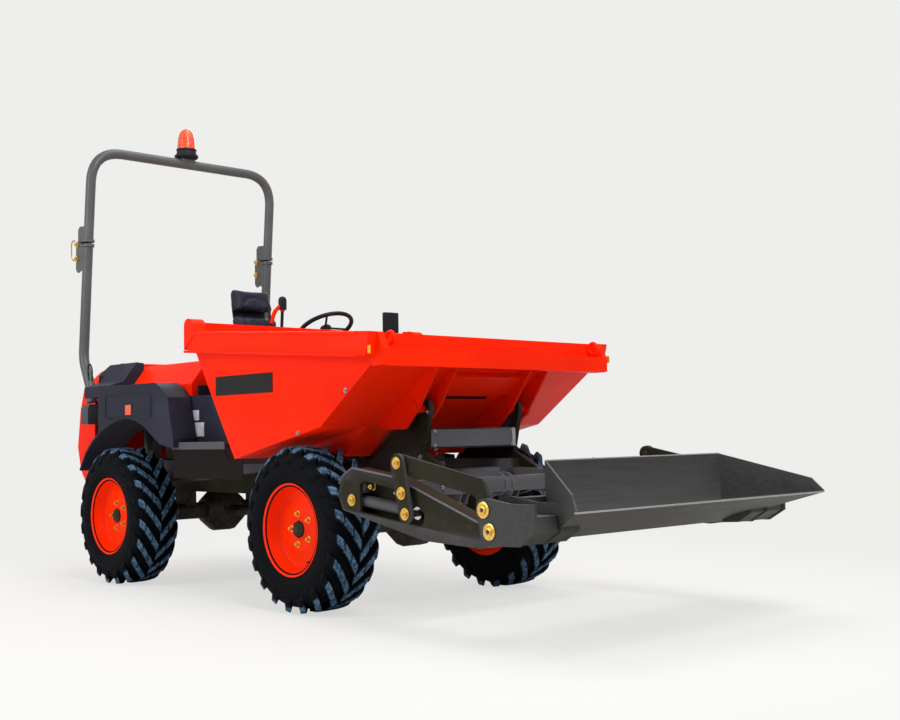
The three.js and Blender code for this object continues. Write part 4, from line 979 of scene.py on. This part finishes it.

# %% [markdown]
# ## Pins and nuts of the loader
# Every pin of the linkage ends in a zinc-plated nut on a washer. They are the same shape scattered to
# the joints, and each rides on the part its pin is fixed in. The shovel's own pins end in big domed
# washers. A pale line along the top edge of each arm is a painted highlight.

# %% Loader hardware
def mirrored_spots(spots):
    """Spots on the left and then on the right, and the outward direction at each."""
    return ([(x, s * y, z) for s in (1, -1) for x, y, z in spots],
            [(0, s, 0) for s in (1, -1) for _ in spots])


def nuts_at(name, spots, y, size, height, body, finish=ZINC, washer=1.45):
    """Nuts at (x, z) spots in millimetres, on both sides, at the distance y from the middle plane."""
    both, facing = mirrored_spots([(x, y, z) for x, z in spots])
    return bolted(name, hex_nut(size / 1000, height / 1000, washer), both, facing, body, finish)


nuts_at("crank_top_and_low_nuts", [(850, 690), (898, 488)], 815.4, 18, 12, "bellcranks", washer=1.38)
nuts_at("crank_pivot_nuts", [(878, 570)], 815.4, 19, 13, "bellcranks", washer=1.38)
nuts_at("tilt_base_nuts", [(516, 532)], 780.4, 19, 12, "loader_arms", washer=1.35)
nuts_at("pocket_nuts", [(612, 588)], 737, 13, 22, "loader_arms", washer=1.2)
nuts_at("pocket_stop_bolts", [(770, 566)], 737, 10, 18, "loader_arms", STEEL)


def stepped_washer(radius):
    """A big domed retaining washer with a raised ring and a centre bolt."""
    r = radius / 1000
    profile = [(0.0, 0.0), (r, 0.0), (r, 0.004), (r * 0.86, 0.006), (r * 0.70, 0.006), (r * 0.62, 0.004),
               (r * 0.50, 0.004), (r * 0.45, 0.009), (r * 0.30, 0.010), (r * 0.27, 0.007), (0.0, 0.007)]
    return lathe(profile, (0, 0, 0), 40, "z")


# A pale tube along the top edge of each arm: a painted highlight.
edge_line = [(430, 600), (452, 632), (519, 667), (781, 633), (903, 595), (1277, 468), (1330, 470)]
for side_name, side in SIDES.items():
    edge_path = rounded(place([(x, side * 779.5, z) for x, z in edge_line]), 0.010, 5)
    edge = tube(edge_path, 0.0042, (0, 1, 0), 10)
    piece(f"arm_edge_highlight_{side_name}", *edge, PLATE_GREY, "loader_arms", "olive_paint")

spots, facing = mirrored_spots([(1344, 815.6, 519), (1373, 815.6, 440)])
bolted("shovel_pin_washers", stepped_washer(31), spots, facing, "shovel_body", ZINC)

cap_bolt = hex_nut(0.0075, 0.008)
front_spots = [(456, y, z) for y in (-250, 250) for z in (752, 815)]
bolts = scattered(cap_bolt, place(front_spots), [turn_to((1, 0, 0))] * len(front_spots))
upright_spots, outwards = mirrored_spots([(360, 302, 640), (415, 302, 700), (470, 302, 905), (330, 302, 872)])
side_bolts = scattered(cap_bolt, place(upright_spots), [turn_to(direction) for direction in outwards])
piece("frame_bolts", *together(bolts, side_bolts), STEEL, "chassis", "chromed_rod", sharp=25)
beam_spots = [(843, y, 582) for y in (-560, -420, 420, 560)]
bolted("beam_bolts", cap_bolt, beam_spots, [(1, 0, 0)] * len(beam_spots), "loader_arms", STEEL)


def upright_plate(y_low, y_high, z_low, z_high, x_back, x_front):
    """A flat plate that faces forward, given in millimetres."""
    corners = [(0, y_low, z_low), (0, y_high, z_low), (0, y_high, z_high), (0, y_low, z_high)]
    return slab(place(corners)[:, 1:], *place([(x_back, 0, 0), (x_front, 0, 0)])[:, 0], across="x")


cross_plate = upright_plate(-272, 272, 744, 824, 455.3, 459.5)
piece("cross_plate_face", *cross_plate, PLATE_GREY, "chassis", "frame_grey", bevel=0.0015)
plate_edge = upright_plate(254, 276, 740, 828, 455.3, 462.5)
piece("cross_plate_edge", *plate_edge, STEEL, "chassis", "frame_grey", bevel=0.0015)
print("shovel washers:", len(spots), "frame bolts:", len(front_spots) + len(upright_spots))

# %% [markdown]
# ## Skip details
# The skip gets a thin bead along each edge of its rim band, a blank plate on each side, rings for
# lifting, a yellow tag, and bolts by its hinges. They are thin pieces set on the skip's surface, so
# the solid skip keeps its simple plates.

# %% Skip fittings
SKIP_SIDE_Y, BAND_Y = 712.3, 777
plates = [side_plate(rectangle(-655, 1014, -160, 1108), s, 0.7123, 0.7148) for s in (1, -1)]
piece("blank_side_plates", *together(*plates), BLACK_LABEL, "skip_body", "black_plastic", bevel=0.0008)
for side_name, side in SIDES.items():
    eye, eye_faces = ring(0.026, 0.008, 32, 12)
    upright_eye = eye @ turn_to((0, 1, 0)).T + place([(640, side * 660, 1215)])[0]
    piece(f"lifting_ring_{side_name}", upright_eye, eye_faces, ORANGE, "skip_body", "orange_paint")
    bolt_spots = [(395, side * SKIP_SIDE_Y, 1000), (40, side * SKIP_SIDE_Y, 820)]
    bolted(f"skip_side_bolts_{side_name}", hex_nut(0.008, 0.007), bolt_spots, [(0, side, 0)] * 2,
           "skip_body", STEEL)
    low_bead, top_bead = (tube(place([(x, side * BAND_Y, back), (556, side * BAND_Y, front)]), 0.0065,
                               (0, 1, 0), 12) for x, back, front in ((-848, 1246, 1141),
                                                                     (-740, 1334, 1237)))
    piece(f"rim_beads_{side_name}", *together(low_bead, top_bead), ORANGE, "skip_body", "orange_paint")
    tag = side_plate(rectangle(630, 1146, 649, 1180), side, 0.7753, 0.7768)
    piece(f"yellow_tag_{side_name}", *tag, YELLOW_TAG, "skip_body", "beacon_amber", bevel=0.0004)

# The front wall slopes from (210, 845) to (580, 1110). A point at a share of the slope, raised off it by
# a distance, is start + share * run + distance * normal.
slope_start, slope_run = np.array([210.0, 845.0]), np.array([370.0, 265.0])
slope_out = np.array([slope_run[1], -slope_run[0]]) / np.linalg.norm(slope_run)


def on_slope(first, last, low, high):
    """A four-cornered section that lies on the front wall."""
    return section([slope_start + s * slope_run + d * slope_out for s,
                    d in rectangle(first, low, last, high)])


panel = slab(on_slope(0.60, 0.90, 0.5, 26), -0.236, 0.236)
piece("blank_front_panel", *panel, ORANGE, "skip_body", "orange_paint", bevel=0.004)
slot = slab(on_slope(0.47, 0.51, 0.4, 3), -0.150, 0.150)
piece("front_wall_slot", *slot, BLACK_LABEL, "skip_body", "black_plastic", bevel=0.001)
hinge_spots, facing = mirrored_spots([(350, 316, 930), (400, 316, 985), (372, 316, 890)])
bolted("hinge_bolts", hex_nut(0.0095, 0.009), hinge_spots, facing, "skip_body", STEEL)
print("front wall", round(float(np.hypot(*slope_run))), "mm up its slope, with", len(hinge_spots),
      "hinge bolts")

# %% [markdown]
# ## Rear body details
# A reflector, two blank stickers, and a steel strip along the sill break up the dark plastic. Below
# the sill hangs a near-black apron plate, whose colour is painted shade under the body, and a moulded
# line runs round the fender's panel. They could be carved into the solid panels, but as pieces of
# their own they keep crisp edges. The shovel's two front edges get a thin bright strip of bare steel:
# polished wear, and a painted highlight along each edge.

# %% Rear body trim
for side_name, side in SIDES.items():
    reflector = side_plate(rectangle(-1536, 940, -1473, 995), side, 0.7403, 0.7455)
    piece(f"side_reflector_{side_name}", *reflector, REFLECTOR, "chassis", "beacon_amber", bevel=0.0015)
    stickers = together(side_plate(rectangle(-1105, 900, -1010, 954), side, 0.5953, 0.5960),
                        side_plate(rectangle(-1090, 815, -960, 888), side, 0.5953, 0.5960))
    piece(f"blank_stickers_{side_name}", *stickers, WHITE_LABEL, "chassis", "black_plastic")
    strip = side_plate(rectangle(-1095, 748, -590, 786), side, 0.7005, 0.7090)
    piece(f"sill_strip_{side_name}", *strip, OLIVE, "chassis", "olive_paint", bevel=0.002)
    # A near-black plate below the sill: its colour is painted shade under the body.
    apron_line = [(-1085, 600), (-430, 600), (-430, 688), (-560, 698), (-600, 748), (-1085, 748)]
    apron = side_plate(apron_line, side, 0.7005, 0.7045)
    piece(f"shade_apron_{side_name}", *apron, SHADED_FRAME, "chassis", "olive_paint", bevel=0.0015)
    panel_line = [(-1775, 925), (-1262, 925), (-1262, 1050), (-1420, 1062), (-1775, 1058)]
    corners = place([(x, side * 740, z) for x, z in panel_line])
    start = corners[:1] + [0.05, 0, 0]
    moulded = tube(rounded(np.vstack([start, corners[1:], corners[:1], start]), 0.022, 6), 0.0045,
                   (0, 1, 0), 10)
    piece(f"fender_panel_line_{side_name}", *moulded, FENDER, "chassis", "black_plastic")
    hose = place([(-2040, side * 690, 1150), (-2035, side * 692, 1225), (-2068, side * 694, 1262),
                  (-2096, side * 690, 1230), (-2092, side * 684, 1160)])
    loop = tube(rounded(hose, 0.022, 8), 0.0045, (0, 1, 0), 10)
    piece(f"wiring_loop_{side_name}", *loop, PLASTIC, "chassis", "black_plastic")
# Bright steel strips on the lip and on the top back edge: polished wear, and a painted highlight along each
# edge.
lip = slab(section([(1788, 519), (1795.5, 519), (1795.5, 526), (1788, 526)]), -0.815, 0.815)
top_edge = slab(section([(1426, 692), (1432, 692), (1432, 697.5), (1426, 697.5)]), -0.566, 0.566)
edge_highlight = piece("shovel_edge_wear_and_highlight", *together(lip, top_edge), STEEL, "shovel_body", "shovel_grey", bevel=0.0012)
print("trim on both sides;", edge_highlight.name, "has", len(edge_highlight.data.polygons), "faces")

# %% [markdown]
# ## Floor, light and camera
# A pale floor and surroundings keep the eye on the machine. The floor takes the machine's shadow near
# the middle and fades into the surroundings further out, so no horizon shows. Rays from the camera and
# from shiny surfaces see the surroundings at full strength, and the others see them dimmer, which keeps
# the shaded sides dark.

# %% Floor and backdrop
PALE = (0.855, 0.855, 0.838)
floor_mesh = bpy.data.meshes.new("floor")
floor_mesh.from_pydata([(-16, -16, 0), (16, -16, 0), (16, 16, 0), (-16, 16, 0)], [], [[0, 1, 2, 3]])
floor = bpy.data.objects.new("floor", floor_mesh)
bpy.context.scene.collection.objects.link(floor)
floor_finish = Finish("pale_floor", Roughness=0.9, Specular_IOR_Level=0.05, Base_Color=(*PALE, 1))
radius = floor_finish.node("ShaderNodeVectorMath", {"operation": "LENGTH"}, {0: floor_finish.position},
                           output="Value")
light_path = floor_finish.node("ShaderNodeLightPath", output="Is Camera Ray")
glow = floor_finish.node("ShaderNodeEmission", inputs={"Color": (*PALE, 1), "Strength": 1.0})
blended = floor_finish.node("ShaderNodeMixShader",
                            inputs={0: light_path * (0.72 + 0.28 * radius.ramp(2.6, 4.6))})
mix_node = blended.socket.node
tree = floor_finish.tree
tree.links.new(floor_finish.shader.outputs[0], mix_node.inputs[1])
tree.links.new(glow.socket, mix_node.inputs[2])
tree.links.new(mix_node.outputs[0], tree.nodes["Material Output"].inputs["Surface"])
floor_mesh.materials.append(floor_finish.material)

world = bpy.data.worlds.new("studio")
bpy.context.scene.world = world
world.use_nodes = True
tree = world.node_tree
background = tree.nodes["Background"]
background.inputs["Color"].default_value = (*PALE, 1)
path = tree.nodes.new("ShaderNodeLightPath")
seen = tree.nodes.new("ShaderNodeMath")
seen.operation = "MAXIMUM"
mirrored = tree.nodes.new("ShaderNodeMath")
mirrored.operation = "MAXIMUM"
level = tree.nodes.new("ShaderNodeMapRange")
level.inputs["To Min"].default_value = 0.42
level.inputs["To Max"].default_value = 1.0
for output, socket in ((path.outputs["Is Camera Ray"], seen.inputs[0]),
                       (path.outputs["Is Glossy Ray"], mirrored.inputs[0]),
                       (path.outputs["Is Transmission Ray"], mirrored.inputs[1]),
                       (mirrored.outputs[0], seen.inputs[1]),
                       (seen.outputs[0], level.inputs["Value"]),
                       (level.outputs[0], background.inputs["Strength"])):
    tree.links.new(output, socket)


def soft_lamp(name, where, target, size, power):
    """A square soft lamp that faces the machine."""
    lamp_data = bpy.data.lights.new(name, "AREA")
    lamp_data.energy = power
    lamp_data.size = size
    made = bpy.data.objects.new(name, lamp_data)
    bpy.context.scene.collection.objects.link(made)
    made.location = where
    made.rotation_euler = (Vector(target) - Vector(where)).to_track_quat("-Z", "Y").to_euler()


soft_lamp("key", (4.2, -1.2, 5.4), (0.0, 0.0, 0.9), 2.6, 290)
soft_lamp("side_fill", (-1.5, -5.5, 3.2), (0.0, 0.0, 0.9), 3.0, 150)
soft_lamp("overhead", (-0.4, 0.6, 6.2), (0.0, 0.0, 0.6), 3.6, 165)
soft_lamp("back", (-4.8, 3.6, 3.6), (0.0, 0.0, 1.0), 3.0, 100)

# %% [markdown]
# The camera stands low, ahead of the machine and to its right. Its three axes are worked out from
# three angles: yaw about the vertical, pitch above the horizon, and a slight roll.

# %% Camera
yaw, pitch, roll = math.radians(47.197), math.radians(4.324), math.radians(-1.087)
look = Vector((-math.sin(yaw) * math.cos(pitch), math.cos(yaw) * math.cos(pitch), math.sin(pitch)))
right = Vector((math.cos(yaw), math.sin(yaw), 0))
up = right.cross(look)
across_view = right * math.cos(roll) + up * math.sin(roll)
up_view = up * math.cos(roll) - right * math.sin(roll)
camera_data = bpy.data.cameras.new("three_quarter_view")
camera_data.lens = 48.13
camera_data.sensor_width = 36.0
camera_data.shift_x = 0.0034
camera_data.shift_y = -0.0183
camera = bpy.data.objects.new("three_quarter_view", camera_data)
bpy.context.scene.collection.objects.link(camera)
axes = Matrix((across_view, up_view, -look)).transposed().to_4x4()
camera.matrix_world = Matrix.Translation((4.8594, -3.9499, 0.8)) @ axes
bpy.context.scene.camera = camera
bpy.context.scene.view_settings.view_transform = "Standard"
print("camera looks along", [round(v, 3) for v in look])
